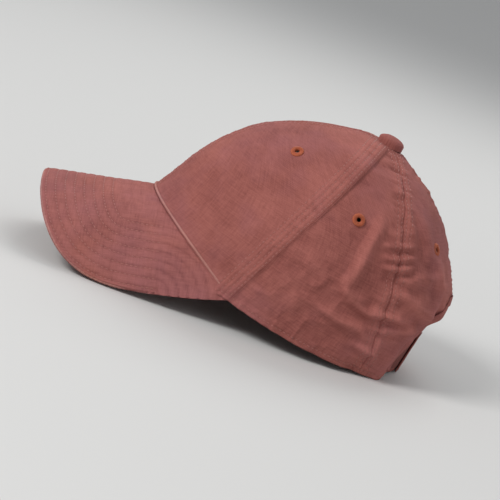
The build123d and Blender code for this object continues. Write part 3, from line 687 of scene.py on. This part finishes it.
# ---- stitching -----------------------------------------------------------------------------------
class Stitching:
    """Collects rows of stitches, each an ellipsoid of thread lying along its row."""

    def __init__(self):
        self.centres = []
        self.runs = []
        self.outs = []

    def row(self, points, outward, keep=None):
        """Adds stitches along a line of close points, at equal steps."""
        steps = np.linalg.norm(np.diff(points, axis=0), axis=1)
        length = np.append(0, np.cumsum(steps))
        count = int(length[-1] // (STITCH + STITCH_GAP))
        if count < 1:
            return
        middles = (np.arange(count) + 0.5) * length[-1] / count

        def at(distance, values):
            return np.stack([np.interp(distance, length, values[:, i]) for i in range(3)], axis=-1)

        centre = at(middles, points)
        run = unit(at(middles + 0.9, points) - at(middles - 0.9, points))
        if keep is not None:
            kept = np.interp(middles, length, keep.astype(float)) > 0.5
            centre, run, middles = centre[kept], run[kept], middles[kept]
        self.centres.append(centre)
        self.runs.append(run)
        self.outs.append(unit(at(middles, outward)))

    def piece(self, name, material, body="cap"):
        """One mesh of every stitch: a lemon of six sides and five rings, bent down at its ends."""
        centre = np.concatenate(self.centres)
        run = np.concatenate(self.runs)
        out = np.concatenate(self.outs)
        side = unit(np.cross(run, out))
        out = np.cross(side, run)
        points = []
        for along_share, thick in ((-1, 0.25), (-0.6, 0.85), (0, 1.0), (0.6, 0.85), (1, 0.25)):
            for i in range(6):
                angle = 2 * pi * i / 6
                r = THREAD_RADIUS * thick
                drop = 0.05 - 0.28 * along_share**2
                points.append(centre + run * (STITCH / 2) * along_share + side * r * cos(angle)
                              + out * (r * sin(angle) + drop))
        points = np.stack(points, axis=1)
        one = net_faces(5, 6, ring=True).reshape(-1, 4)
        caps = np.array([(0, 1, 2, 3), (0, 3, 4, 5), (27, 26, 25, 24), (29, 28, 27, 24)])
        one = np.vstack([one[:, ::-1], caps])
        faces = (one[None] + 30 * np.arange(len(points))[:, None, None]).reshape(-1, 4)
        make_piece(name, points, faces, material, body=body)


def crown_row(stitching, turn_of, low, high, side):
    """Adds a row up the crown along a function from level to turn, between two levels."""
    level = np.linspace(low, high, 500)
    turn = turn_of(level) * side
    points, _ = cloth_place(turn, level, 0.0)
    plain = crown(turn, level)
    stitching.row(points, crown_outward(turn, level), clear_of_edges(plain) > HEM_ROW + 1)


# ---- crown panels --------------------------------------------------------------------------------
PANEL_COLUMNS = 150
PANEL_ROWS = 170
EYELETS = {  # turn in radians and level of each left eyelet
    "front": (radians(131.0), 4.87),
    "side": (radians(84.0), 4.0),
    "rear": (radians(32.0), 4.2),
}
PANELS = {  # the seams on its two sides, and its declared flat width, length and filled share
    "front": (seam_table(FRONT_NORMAL, 0.0), middle_table(True, 0.0), (0.125, 0.165, 0.65)),
    "side": (seam_table(REAR_NORMAL, 0.0), seam_table(FRONT_NORMAL, 0.0), (0.105, 0.165, 0.55)),
    "rear": (middle_table(False, 0.0), seam_table(REAR_NORMAL, 0.0), (0.090, 0.165, 0.58)),
}


def crown_panel(name, side):
    """One panel of cloth between two seams, from its edge up to the button, with its eyelet hole."""
    first, second, flat_size = PANELS[name]
    even = np.linspace(0, 1, PANEL_COLUMNS)
    share = 0.55 * even + 0.45 * (0.5 - 0.5 * np.cos(pi * even))

    def turn_of(level):
        return first(level) * (1 - share) + second(level) * share

    low = solve(lambda k: clear_of_edges(crown(turn_of(k), k)), np.zeros(PANEL_COLUMNS),
                np.full(PANEL_COLUMNS, TOP))
    lengths = np.linspace(0, 1, PANEL_ROWS)[:, None]
    base = np.interp(low, TABLE_LEVELS, PROFILE_LENGTH)
    level = np.interp(base + (PROFILE_LENGTH[-1] - base) * lengths, PROFILE_LENGTH, TABLE_LEVELS)
    turn = turn_of(level) * side
    outside, wear = cloth_place(turn, level, 0.0)
    inside, _ = cloth_place(turn, level, FABRIC, outside=False)
    eyelet_turn, eyelet_level = EYELETS[name]
    centre = crown(eyelet_turn * side, eyelet_level)
    cells = net_faces(PANEL_ROWS, PANEL_COLUMNS)
    middles = crown(turn, level).reshape(-1, 3)[cells].mean(axis=2)
    holes = np.linalg.norm(middles - centre, axis=-1) < EYELET_HOLE_RADIUS + 0.9
    faces = two_layers(PANEL_ROWS, PANEL_COLUMNS, holes=holes)
    reach = np.interp(level, TABLE_LEVELS, SECTION_REACH)
    flat = np.stack([turn * reach, np.interp(level, TABLE_LEVELS, PROFILE_LENGTH)], axis=-1)
    sided = "left" if side > 0 else "right"
    piece = make_piece(f"{name}_panel_cloth_{sided}", doubled(outside, inside), faces, CLOTH,
                       doubled(flat, flat), doubled(0.5 + 0.55 * wear, 0.3 + 0 * wear),
                       replaces=[f"{name}_panel_{sided}"])


def eyelet_ring(name, side):
    """Stitched ring: a flattened ring with a bump for each radial thread, round a small hole."""
    turn, level = EYELETS[name]
    turn = turn * side
    ring_points, across = 8 * EYELET_THREADS, 14
    angle = np.linspace(0, 2 * pi, ring_points, endpoint=False)[:, None]
    around = np.linspace(0, 2 * pi, across, endpoint=False)[None, :]
    middle = (EYELET_RADIUS + EYELET_HOLE_RADIUS) / 2
    half = (EYELET_RADIUS - EYELET_HOLE_RADIUS) / 2
    thread_wave = np.abs(np.cos(EYELET_THREADS / 2 * angle + 0.4 * np.sin(5 * angle)))
    ragged = 1 + 0.07 * np.sin(13 * angle) + 0.06 * np.sin(29 * angle + 1)
    reach = middle + half * np.cos(around) * ragged
    rise = np.sin(around) * (0.75 + 0.3 * thread_wave) + 0 * angle
    rise = np.where(rise > 0, rise, 2.4 * rise)
    upward = unit(crown(turn, level + 0.02) - crown(turn, level - 0.02))
    outward = crown_outward(turn, level)
    sideways = np.cross(upward, outward)
    place, _ = cloth_place(turn, level, 0.0)
    points = place + ((reach * np.cos(angle))[..., None] * sideways
                      + (reach * np.sin(angle))[..., None] * upward
                      + (rise + 0.25)[..., None] * outward)
    sag = (reach**2 / 170)[..., None] * outward
    faces = net_faces(ring_points, across, ring=True, loop=True).reshape(-1, 4)
    return make_piece(f"{name}_eyelet_{'left' if side > 0 else 'right'}", points - sag, faces,
                      EYELET_THREAD)


def build_crown():
    """Six panels, their eyelets and their stitching."""
    stitching = Stitching()
    for side in (1, -1):
        for name in PANELS:
            crown_panel(name, side)
            eyelet_ring(name, side)
        for row in FRONT_SEAM_ROWS:
            crown_row(stitching, seam_table(FRONT_NORMAL, row), 0.5, TOP - 1.1, side)
        for row in SIDE_SEAM_ROWS:
            crown_row(stitching, seam_table(REAR_NORMAL, row), 0.2, TOP - 1.1, side)
        for row in MIDDLE_SEAM_ROWS:
            crown_row(stitching, middle_table(True, row), 1.0, TOP - 1.1, side)
            crown_row(stitching, middle_table(False, row), 2.0, TOP - 1.1, side)
        around = np.linspace(0.02, pi - 0.02, 900)
        low = solve(lambda k: clear_of_edges(crown(around, k)) - HEM_ROW, np.zeros(900),
                    np.full(900, TOP))
        points, _ = cloth_place(around * side, low, 0.0)
        stitching.row(points, crown_outward(around * side, low))
    stitching.piece("crown_stitches", THREAD)
    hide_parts("eyelets")


# ---- button --------------------------------------------------------------------------------------
def build_button():
    """Cloth-covered button: a near half ellipse turned round, tucked in below and gathered."""
    rows, columns = 40, 160
    share = np.linspace(0, 1, rows)[:, None]
    angle = np.linspace(0, 2 * pi, columns, endpoint=False)[None, :]
    swing = np.minimum(share / BUTTON_SHOULDER, 1) * pi / 2
    radius = BUTTON_RADIUS * np.sin(swing) + 0 * angle
    under = np.maximum(share - BUTTON_SHOULDER, 0) / (1 - BUTTON_SHOULDER)
    height = BUTTON_SKIRT + BUTTON_DOME * np.cos(swing) ** 0.9 - BUTTON_TUCK * under + 0 * angle
    pleat = 0.07 * ramp(share, 0.55, 1.0) * np.sin(17 * angle + 2 * np.sin(3 * angle))
    radius = radius + pleat * np.minimum(radius / 6, 1)
    top = np.stack([radius * np.cos(angle), radius * np.sin(angle) + BUTTON_Y,
                    height + BUTTON_BASE_Z], axis=-1)
    top[..., 2] += 0.14 * noise(top, 3.0, 71)
    points = np.vstack([top.reshape(-1, 3), [(0, BUTTON_Y, BUTTON_BASE_Z)]])
    faces = net_faces(rows, columns, ring=True).reshape(-1, 4)
    last = (rows - 1) * columns + np.arange(columns)
    foot = np.stack([np.roll(last, -1), last, np.full(columns, rows * columns)], axis=-1)
    faces = faces.tolist() + foot.tolist()
    flat = np.vstack([np.stack([radius * np.cos(angle), radius * np.sin(angle)],
                               axis=-1).reshape(-1, 2), [(0, 0)]])
    wear = np.append(np.full(rows * columns, 0.65), 0.3)
    button = make_piece("button_cloth", points, faces, CLOTH, flat, wear,
                        replaces=["button_cover"])


# ---- bill ----------------------------------------------------------------------------------------
BILL_HALF = HORN_ARC + BILL_FLARE
SEAM_TURNS = np.linspace(pi, HORN_TURN - 0.06, 200)


def bill_seam(depth):
    """Distances ahead at which the bill meets the crown's outside, as a table over the arc."""
    level = solve(lambda k: above_bill(crown(SEAM_TURNS, k), depth), np.zeros(200),
                  np.full(200, TOP))
    points = crown(SEAM_TURNS, level) + 0.3 * crown_outward(SEAM_TURNS, level)
    up = (points - SEAT) @ UPWARD + BILL_RADIUS
    return BILL_RADIUS * np.arctan2(points[:, 0], up), (points - SEAT) @ FORWARD


def bill_outline(share, edge_in=0.0):
    """Arc and distance ahead of the bill's outer edge: a superellipse over the half width."""
    width = BILL_HALF - edge_in
    rise = np.maximum(1 - np.abs(share) ** 2.5, 0) ** (1 / 3.1)
    return share * width, -BILL_WIDEST + (BILL_LENGTH - edge_in + BILL_WIDEST) * rise


def bill_net(depth):
    """Arcs and distances ahead over the whole bill, from its seam to its outer edge."""
    columns, rows = 360, 90
    angle = np.linspace(-pi / 2, pi / 2, columns)
    share = np.sign(angle) * np.abs(np.sin(angle)) ** 0.9
    arc, outer = bill_outline(share)
    seam_arc, seam_ahead = bill_seam(depth)
    flare = np.clip((BILL_HALF - np.abs(arc)) / BILL_FLARE, 0, 1)
    back = -BILL_WIDEST + (HORN_BACK + BILL_WIDEST) * np.sqrt(flare)
    inner = np.minimum(np.maximum(np.interp(np.abs(arc), seam_arc, seam_ahead), back), outer)
    part = np.linspace(0, 1, rows)[:, None]
    part = 0.7 * part + 0.3 * np.sin(part * pi / 2)
    return np.broadcast_to(arc, (rows, columns)), inner + (outer - inner) * part


EDGE_LINE = np.stack(bill_outline(np.sin(np.linspace(-pi / 2, pi / 2, 400))), axis=-1)


def from_edge(arc, ahead):
    """Distance of flat-pattern places from the bill's outer edge."""
    nearest = np.full(arc.shape, 1e9)
    for point in EDGE_LINE:
        nearest = np.minimum(nearest, (arc - point[0]) ** 2 + (ahead - point[1]) ** 2)
    return np.sqrt(nearest)


def bill_relief(arc, ahead, edge, seed):
    """Heights of a bill cover: soft swells between rows of stitches, wrinkles and slubs."""
    flat = np.stack([arc, ahead, np.full(arc.shape, seed * 9.0)], axis=-1)
    phase = (edge - BILL_FIRST_ROW) / BILL_ROW_SPACING
    last = BILL_ROWS - 0.5
    rows = np.where((phase > -0.4) & (phase < last), bell((phase - np.round(phase))
                                                        * BILL_ROW_SPACING, 0.9), 0)
    swell = 0.35 * np.sin(pi * np.clip(phase - np.floor(phase), 0, 1)) ** 0.7
    height = swell - 0.28 * rows + 0.35 * noise(flat, 17.0, seed) + 0.16 * noise(flat, 5.0, seed + 1)
    ridged = 1 - 2 * np.abs(noise(flat * (1, 0.45, 1), 6.0, seed + 2))
    height += 0.14 * ridged + 0.05 * noise(flat, 1.5, seed + 3)
    return height * ramp(edge, 0, 1.6)


def bill_cover(name, top, bottom, seed, material, replaced, upside):
    """One cloth cover of the bill, with relief on its outer side."""
    depth = top if upside else bottom
    arc, ahead = bill_net(depth)
    edge = from_edge(arc, ahead)
    relief = bill_relief(arc, ahead, edge, seed)
    curl = 1 - ramp(edge, 0, BILL_ROLL)
    rise = relief * BILL_RELIEF - 1.3 * curl**2
    outer = top - rise if upside else bottom + rise
    inner = bottom if upside else top
    outer_points = bill_point(arc, ahead, outer)
    inner_points = bill_point(arc, ahead, inner + (BILL_TUCK if upside else -BILL_TUCK) * curl)
    faces = two_layers(*arc.shape)
    flat = np.stack([arc, ahead], axis=-1)
    wear = 0.4 + 0.9 * relief + 0.45 * bell(edge, 1.8)
    piece = make_piece(name, doubled(outer_points, inner_points), faces, material,
                       doubled(flat, flat), doubled(wear, 0.3 + 0 * wear), replaces=[replaced])


def bill_edge_piping():
    """Rolled piping round the bill's edge: a tube flattened sideways, gathered by its stitches."""
    columns, around = 1000, 16
    share = np.sin(np.linspace(-pi / 2, pi / 2, columns))
    arc, ahead = bill_outline(share, 1.0)
    flat = np.stack([arc, ahead, 0 * arc], axis=-1)
    run = unit(np.gradient(flat, axis=0))
    out = np.stack([-run[:, 1], run[:, 0]], axis=-1)
    length = np.append(0, np.cumsum(np.linalg.norm(np.diff(flat, axis=0), axis=1)))
    along = np.stack([length, 0 * length, 0 * length], axis=-1)
    swell = 1 + 0.05 * np.sin(length * 2 * pi / 3.1) + 0.10 * noise(along, 6.0, 81)
    angle = np.linspace(0, 2 * pi, around, endpoint=False)[None, :]
    reach = 1.15 * swell[:, None] * np.cos(angle)
    depth = BILL_THICKNESS / 2 - 1.75 * swell[:, None] * np.sin(angle)
    fade = np.clip((BILL_HALF - np.abs(arc)) / 3 + 0.35, 0.35, 1)[:, None]
    depth = BILL_THICKNESS / 2 + (depth - BILL_THICKNESS / 2) * fade
    points = bill_point(arc[:, None] + reach * out[:, 0:1], ahead[:, None] + reach * out[:, 1:2],
                        depth)
    faces = tube_faces(columns, around)
    flat = np.stack([np.broadcast_to(length[:, None], reach.shape),
                     np.broadcast_to(angle * 1.5, reach.shape)], axis=-1)
    wear = 0.75 + 0.5 * np.broadcast_to(noise(along, 4.0, 83)[:, None], reach.shape)
    make_piece("bill_piping_cloth", points, faces, PIPING, flat, wear, replaces=["bill_piping"])


def tube_faces(rows, columns):
    """Faces of a tube with its ends closed by fans of four-sided faces."""
    index = np.arange(rows * columns).reshape(rows, columns)
    faces = [net_faces(rows, columns, ring=True).reshape(-1, 4)]
    for ring, flip in ((index[0], 1), (index[-1], -1)):
        cap = [(ring[0], ring[i + 2], ring[i + 1], ring[i]) for i in range(1, columns - 2, 2)]
        faces.append(np.array(cap)[:, ::flip])
    return np.vstack(faces)


def junction_piping():
    """Corded piping that covers the seam between the bill and the crown."""
    half = np.linspace(pi, HORN_TURN + 0.02, 200)
    turn = np.concatenate([half[:0:-1], 2 * pi - half])
    turn = np.interp(np.linspace(0, 1, 900), np.linspace(0, 1, len(turn)), turn)
    level = solve(lambda k: above_bill(crown(turn, k), -0.9), np.zeros(900), np.full(900, TOP))
    centre = crown(turn, level)
    outward = crown_outward(turn, level)
    run = unit(np.gradient(centre, axis=0))
    upward = np.cross(run, outward)
    length = np.append(0, np.cumsum(np.linalg.norm(np.diff(centre, axis=0), axis=1)))
    line = np.stack([length, 0 * length, 0 * length], axis=-1)
    ends = np.minimum(length, length[-1] - length)
    radius = 0.8 * (1 + 0.12 * noise(line, 3.2, 141)) * ramp(ends, -4, 7)
    radius = radius[:, None, None]
    angle = np.linspace(0, 2 * pi, 14, endpoint=False)[None, :, None]
    points = centre[:, None] + 0.7 * outward[:, None] + radius * (
        np.cos(angle) * outward[:, None] + np.sin(angle) * upward[:, None])
    flat = np.stack([np.broadcast_to(length[:, None], points.shape[:2]),
                     np.broadcast_to(angle[..., 0] * 1.1, points.shape[:2])], axis=-1)
    make_piece("bill_seam_piping", points, tube_faces(900, 14), PIPING, flat,
               np.full(points.shape[:2], 1.0))


def build_bill():
    """Both covers, the piping and the concentric stitching."""
    junction_piping()
    bill_cover("bill_top_cloth", 0.0, BILL_COVER, 91, BILL_CLOTH, "bill_top_cover", True)
    bill_cover("bill_under_cloth", BILL_THICKNESS - BILL_COVER, BILL_THICKNESS, 97, UNDER_CLOTH,
               "bill_under_cover", False)
    bill_edge_piping()
    stitching = Stitching()
    for upside, depth, seed in ((True, 0.0, 91), (False, BILL_THICKNESS, 97)):
        seam_arc, seam_ahead = bill_seam(depth)
        for row in range(BILL_ROWS):
            gap = BILL_FIRST_ROW + row * BILL_ROW_SPACING
            arc, ahead = bill_outline(np.sin(np.linspace(-pi / 2, pi / 2, 1200)))
            flat = np.stack([arc, ahead], axis=-1)
            run = unit(np.gradient(flat, axis=0))
            arc, ahead = arc + run[:, 1] * gap, ahead - run[:, 0] * gap
            edge = from_edge(arc, ahead)
            behind = ahead > np.interp(np.abs(arc), seam_arc, seam_ahead) + 1.5
            kept = behind & (edge > gap - 0.3)
            relief = bill_relief(arc, ahead, edge, seed)
            rise = relief * BILL_RELIEF
            height = depth - rise if upside else depth + rise
            points = bill_point(arc, ahead, height)
            outward = points - bill_point(arc, ahead, height + (1 if upside else -1))
            if kept.any():
                stitching.row(points, outward, kept)
    stitching.piece("bill_stitches", THREAD)
    paint("bill_board", BOARD_PLASTIC)


def paint(node, material):
    """Gives a design node its material."""
    mesh = NODES[node].data
    mesh.materials.clear()
    mesh.materials.append(material)


# ---- bands inside the crown ----------------------------------------------------------------------
BAND_DEPTH = 3.0
BAND = 1.5
BAND_HEIGHT = 27.0
BAND_END_TURN = radians(62.0)
BAND_ROWS = (0.12, 0.88)  # places of its stitch rows, as shares of its height
BROW_HALF_TURN = radians(34.0)
BROW = 1.2
BROW_LOWER = 4.0
BROW_GAP = 0.8


def band_net(end_turn, height, columns, rows):
    """Turns and levels of a band inside the hem, round the front between two end turns."""
    turn = np.linspace(end_turn, 2 * pi - end_turn, columns)
    low = solve(lambda k: clear_of_edges(crown(turn, k)), np.zeros(columns),
                np.full(columns, TOP))
    start = crown(turn, low)[:, 2]
    high = solve(lambda k: crown(turn, k)[..., 2] - start - height, np.zeros(columns),
                 np.full(columns, TOP))
    share = np.linspace(0, 1, rows)[:, None]
    return np.broadcast_to(turn, (rows, columns)), low + (high - low) * share, share


def inner_band(name, end_turn, height, depth, thickness, material, replaced, seed):
    """Cloth band: plain towards the crown, softly padded and rippled towards the head."""
    columns, rows = 700, 40
    turn, level, share = band_net(end_turn, height, columns, rows)
    plain = crown(turn, level)
    outward = crown_outward(turn, level)
    around = np.stack([plain[..., 0], plain[..., 1], plain[..., 2] * 0.35], axis=-1)
    puff = 0.55 * np.sin(pi * np.clip(share, 0.02, 0.98)) ** 0.5 + 0.22 * noise(around, 6.0, seed)
    puff = puff + 0.12 * noise(plain, 2.8, seed + 1)
    rows_of_stitches = sum(bell((share - place) * height, 0.9) for place in BAND_ROWS)
    relief = puff - 0.35 * rows_of_stitches
    head_side = plain - (depth + thickness - 0.45 + relief)[..., None] * outward
    crown_side = plain - depth * outward
    faces = two_layers(rows, columns)
    reach = np.interp(level, TABLE_LEVELS, SECTION_REACH)
    flat = np.stack([turn * reach, np.broadcast_to(share * height, turn.shape)], axis=-1)
    piece = make_piece(name, doubled(head_side, crown_side), faces, material,
                       doubled(flat, flat), doubled(0.5 + relief * 0.6, 0.3 + 0 * relief),
                       replaces=[replaced])
    stitching = Stitching()
    for place in BAND_ROWS:
        row = int(round(place * (rows - 1)))
        stitching.row(head_side[row], -outward[row])
    stitching.piece(name + "_stitches", THREAD)
    return piece


def build_bands():
    """Sweatband, folded from one strip, and the padded brow."""
    sweatband = inner_band("sweatband_cloth", BAND_END_TURN, BAND_HEIGHT, BAND_DEPTH, BAND,
                           BAND_CLOTH, "sweatband", 121)
    brow = inner_band("brow_pad_cloth", pi - BROW_HALF_TURN, BAND_HEIGHT - BROW_LOWER,
                      BAND_DEPTH + BAND + BROW_GAP, BROW, BAND_CLOTH, "brow_pad", 131)


# ---- straps --------------------------------------------------------------------------------------
FOLD_ANGLE = -14.0
TAB_GAP = 0.32
TAB_END = 16.0
LEFT_STRAP_ANGLES = (-12.0, 58.0)
RIGHT_STRAP_END = -58.0


def strap_piece(name, outer, start, end, seed, body, replaced, puckered=1.0):
    """Bent band round the strap's upright axis, from an angle to an angle, with a leaning wall."""
    columns, rows = 320, 60
    angle = np.radians(np.linspace(start, end, columns))[None, :]
    share = np.linspace(0, 1, rows)[:, None]
    low = STRAP_MIDDLE_Z - STRAP_HEIGHT / 2
    high = STRAP_MIDDLE_Z + STRAP_HEIGHT / 2
    along = np.stack([angle * outer + 0 * share, 0.3 * share * STRAP_HEIGHT + 0 * angle,
                      0 * angle * share + seed], axis=-1)
    ends = np.minimum(share, 1 - share) * STRAP_HEIGHT
    relief = 0.42 * noise(along, 3.4, seed) * puckered + 0.16 * noise(along, 1.6, seed + 1)
    relief = relief + 0.1 - 0.35 * bell(ends - STRAP_ROW, 0.7)
    at_fold = bell(angle - radians(FOLD_ANGLE), radians(3.0)) if body != "cap" else 0.0
    relief = relief * (1 - at_fold)
    radius = outer + (share - 0.5) * STRAP_HEIGHT * np.tan(STRAP_LEAN)

    def place(r):
        return np.stack([r * np.sin(angle), STRAP_AXIS_Y + r * np.cos(angle),
                         low + (high - low) * share + 0 * angle], axis=-1)

    outside, inside = place(radius + relief), place(radius - STRAP + 0 * angle)
    faces = two_layers(rows, columns)
    flat = np.stack([angle * outer + 0 * share, share * STRAP_HEIGHT + 0 * angle], axis=-1)
    piece = make_piece(name, doubled(outside, inside), faces, STRAP_CLOTH, doubled(flat, flat),
                       doubled(0.5 + 1.2 * relief, 0.3 + 0 * relief), body, [replaced])
    stitching = Stitching()
    outward = np.stack([np.sin(angle), np.cos(angle), 0 * angle], axis=-1)[0]
    for gap in (STRAP_ROW, STRAP_HEIGHT - STRAP_ROW):
        row = int(round(gap / STRAP_HEIGHT * (rows - 1)))
        stitching.row(outside[row], outward)
    stitching.piece(name + "_stitches", THREAD, body)


def build_straps():
    """Left strap on the cap, right strap, and the tab folded on."""
    level = number(lambda k: crown(0.0, k)[..., 2] - STRAP_MIDDLE_Z, 0, TOP)
    outer = float(crown(0.0, level)[1]) - STRAP_AXIS_Y - STRAP_IN
    strap_piece("left_strap_cloth", outer - STRAP_LAYERS, *LEFT_STRAP_ANGLES, 3, "cap",
                "strap_left", 0.3)
    strap_piece("right_strap_cloth", outer, RIGHT_STRAP_END, FOLD_ANGLE, 5, "strap", "strap_right")
    strap_piece("strap_tab_cloth", outer, FOLD_ANGLE + TAB_GAP, TAB_END, 7, "tab", "strap_tab")
    for node in ("hook_strip", "loop_strip"):
        paint(node, NYLON)


def build_arch_binding():
    """Folded binding over the rear opening's edge: a U of cloth, puckered along its length."""
    columns, around = 700, 18
    end = number(lambda a: crown(a, 1.0)[..., 0] - ARCH_HALF_WIDTH, 0, pi / 2) * 0.99
    turn = np.linspace(-end, end, columns)
    low = solve(lambda k: clear_of_edges(crown(turn, k)), np.zeros(columns),
                np.full(columns, TOP))
    edge_place, _ = cloth_place(turn, low, FABRIC / 2, outside=False)
    outward = crown_outward(turn, low)
    run = unit(np.gradient(edge_place, axis=0))
    inward = unit(np.cross(outward, run))
    inward = inward * np.sign(inward[:, 2:])
    length = np.append(0, np.cumsum(np.linalg.norm(np.diff(edge_place, axis=0), axis=1)))
    line = np.stack([length, 0 * length, 0 * length], axis=-1)
    pucker = 0.35 * noise(line, 3.4, 101) + 0.5 * noise(line, 8.0, 102)
    angle = np.linspace(-0.5 * pi, 0.5 * pi, around)
    shape_out = np.concatenate([[1.15], -1.25 * np.sin(angle), [-1.15]])
    shape_down = np.concatenate([[6.0], -1.3 * np.cos(angle), [6.0]])
    outs = shape_out[None, :] * (1 + 0.5 * np.abs(pucker[:, None])) + 0.3 * pucker[:, None]
    downs = shape_down[None, :] + 0.4 * pucker[:, None]
    skin = edge_place[:, None] + (outs[..., None] * outward[:, None]
                                  + downs[..., None] * inward[:, None])
    inner_out = shape_out * 0.7
    core = edge_place[:, None] + (inner_out[None, :, None] * outward[:, None]
                                  + (downs * 0.97 + 0.35)[..., None] * inward[:, None])
    faces = two_layers(columns, len(shape_out))
    across = np.append(0, np.cumsum(np.hypot(np.diff(shape_out), np.diff(shape_down))))
    flat = np.stack([length[:, None] + 0 * across, across + 0 * length[:, None]], axis=-1)
    wear = 0.6 + 0.5 * pucker[:, None] + 0 * outs
    piece = make_piece("arch_binding_cloth", doubled(skin, core), faces, CLOTH,
                       doubled(flat, flat), doubled(wear, wear), replaces=["arch_binding"])


# ---- insert --------------------------------------------------------------------------------------
PAD_LOW_Z = 77.0
SIDE_PADS = {  # turns of its two sides, and how many levels its foot is above the lowest
    "pad_front": ((pi - 0.42, pi + 0.42), 0.0),
    "pad_rear": ((-0.4, 0.4), 0.5),
    "pad_left": ((1.25, 1.9), 0.0),
    "pad_right": ((-1.9, -1.25), 0.0),
}
SIDE_PAD_RISE = 1.6
CROWN_PAD_LEVELS = (TOP - 2.6, TOP - 0.4)


def insert_depth(turn, level, more):
    """Depth of the insert's layers: deeper at the rear and towards the top."""
    share = level / TOP
    return SHELL_SIDE_IN + SHELL_REAR_MORE * np.cos(turn) * (1 - share) + (
        SHELL_TOP_MORE * share + more)


def pad_piece(name, turns, levels, ring=False):
    """Foam pad: a cushion whose thickness falls off in a quarter round at its edges."""
    columns, rows = (120, 60) if not ring else (240, 60)
    turn = np.linspace(turns[0], turns[1], columns, endpoint=not ring)[None, :]
    level = np.linspace(levels[0], levels[1], rows)[:, None]
    u = np.linspace(-1, 1, columns)[None, :] * (0 if ring else 1)
    v = np.linspace(-1, 1, rows)[:, None]
    edge = (1 - np.abs(u) ** 14) * (1 - np.abs(v) ** 10)
    turn, level = np.broadcast_arrays(turn, level)
    thick = 0.12 + 0.88 * np.maximum(edge, 0) ** 0.42 + 0 * turn
    plain = crown(turn, level)
    outward = crown_outward(turn, level)
    dimple = 0.12 * noise(plain, 5.0, 111)
    near = plain - insert_depth(turn, level, PAD_IN_SHELL)[..., None] * outward
    far = plain - (insert_depth(turn, level, PAD_IN_SHELL) + (PAD - 0.15) * thick
                   + dimple * (thick > 0.6))[..., None] * outward
    faces = two_layers(rows, columns, ring)
    piece = make_piece(name + "_foam", doubled(far, near), faces, FOAM, body="insert",
                       replaces=[name])


def build_insert():
    """Shell as designed in its plastic, rounded pads, trim and hook tabs."""
    level = number(lambda k: crown(pi / 2, k)[..., 2] - PAD_LOW_Z, 0, TOP)
    for name, (turns, above) in SIDE_PADS.items():
        pad_piece(name, turns, (level + above, level + SIDE_PAD_RISE))
    pad_piece("pad_crown", (0, 2 * pi), CROWN_PAD_LEVELS, ring=True)
    paint("protective_shell", SHELL_PLASTIC)
    paint("rim_trim", FOAM)
    for name in NODES:
        if name.startswith(("insert_hook_tab", "crown_loop_tab")):
            paint(name, NYLON)


def paint_hidden_layers():
    """Materials of the backings, tapes, label and button's metal."""
    for name in NODES:
        if "backing" in name:
            paint(name, BACKING_CLOTH)
        elif name.endswith("_tape") or "_tape_" in name:
            paint(name, TAPE)
    paint("care_label", LABEL)
    paint("button_core", STEEL)
    paint("button_washer", STEEL)


# ---- stage, light and camera ---------------------------------------------------------------------
FLOOR_REACH = 15.0  # metres, as are the lamps' places and sizes; their powers are in watts
FLOOR_COLOR = (0.62, 0.615, 0.6, 1.0)
SURROUND_COLOR = (0.95, 0.97, 1.0, 1.0)
SURROUND_STRENGTH = 0.45
LAMPS = {  # place, size and power
    "key": ((1.1, -1.5, 1.5), 0.8, 36.0),
    "fill": ((1.6, 1.5, 0.7), 1.6, 5.0),
    "back": ((-1.2, 0.4, 1.5), 1.2, 14.0),
}
LAMP_TARGET = (0, 0, 0.06)
CAMERA_BACK = (0.97815, -0.0995, 0.1825)  # directions and target in the wearer's frame
CAMERA_UP = (-0.2079, -0.4682, 0.8588)
CAMERA_TARGET = (0.0, 4.0, 21.8)
CAMERA_DISTANCE = 1.442
CAMERA_LENS = 156.3


def build_stage():
    """Large pale floor, a soft pale surround, and three soft lights."""
    mesh = bpy.data.meshes.new("floor")
    reach = FLOOR_REACH
    low = min(CAD_BOX[0][2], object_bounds()[0][2])
    mesh.from_pydata([(-reach, -reach, low), (reach, -reach, low), (reach, reach, low),
                      (-reach, reach, low)], [], [(0, 1, 2, 3)])
    n = Nodes("floor_paper")
    mesh.materials.append(n.finish(FLOOR_COLOR, 0.9))
    floor = bpy.data.objects.new("floor", mesh)
    bpy.context.scene.collection.objects.link(floor)
    world = bpy.data.worlds.new("studio")
    bpy.context.scene.world = world
    world.use_nodes = True
    surround = world.node_tree.nodes["Background"].inputs
    surround["Color"].default_value = SURROUND_COLOR
    surround["Strength"].default_value = SURROUND_STRENGTH
    for name, (place, size, power) in LAMPS.items():
        light = bpy.data.lights.new(name, "AREA")
        light.size = size
        light.energy = power
        lamp = bpy.data.objects.new(name, light)
        lamp.location = place
        aim = Vector(LAMP_TARGET) - lamp.location
        lamp.rotation_mode = "QUATERNION"
        lamp.rotation_quaternion = aim.to_track_quat("-Z", "Y")
        bpy.context.scene.collection.objects.link(lamp)


def build_camera():
    """Camera at the cap's left, a little above it and rolled, so that the bill is on the left."""
    back = rest_direction(CAMERA_BACK)
    up = rest_direction(CAMERA_UP)
    across = up.cross(back).normalized()
    up = back.cross(across)
    camera = bpy.data.objects.new("camera", bpy.data.cameras.new("camera"))
    camera.data.lens = CAMERA_LENS
    camera.data.sensor_width = 36.0
    place = Vector(rest_place(np.array(CAMERA_TARGET))) + back * CAMERA_DISTANCE
    turn = Matrix((across, up, back)).transposed().to_4x4()
    camera.matrix_world = Matrix.Translation(place) @ turn
    camera.data.clip_start = 0.1
    camera.data.clip_end = 60.0
    bpy.context.scene.collection.objects.link(camera)
    bpy.context.scene.camera = camera
    bpy.context.scene.view_settings.view_transform = "Standard"


build_crown()
build_button()
build_bill()
build_bands()
build_straps()
build_arch_binding()
build_insert()
paint_hidden_layers()
build_stage()
build_camera()
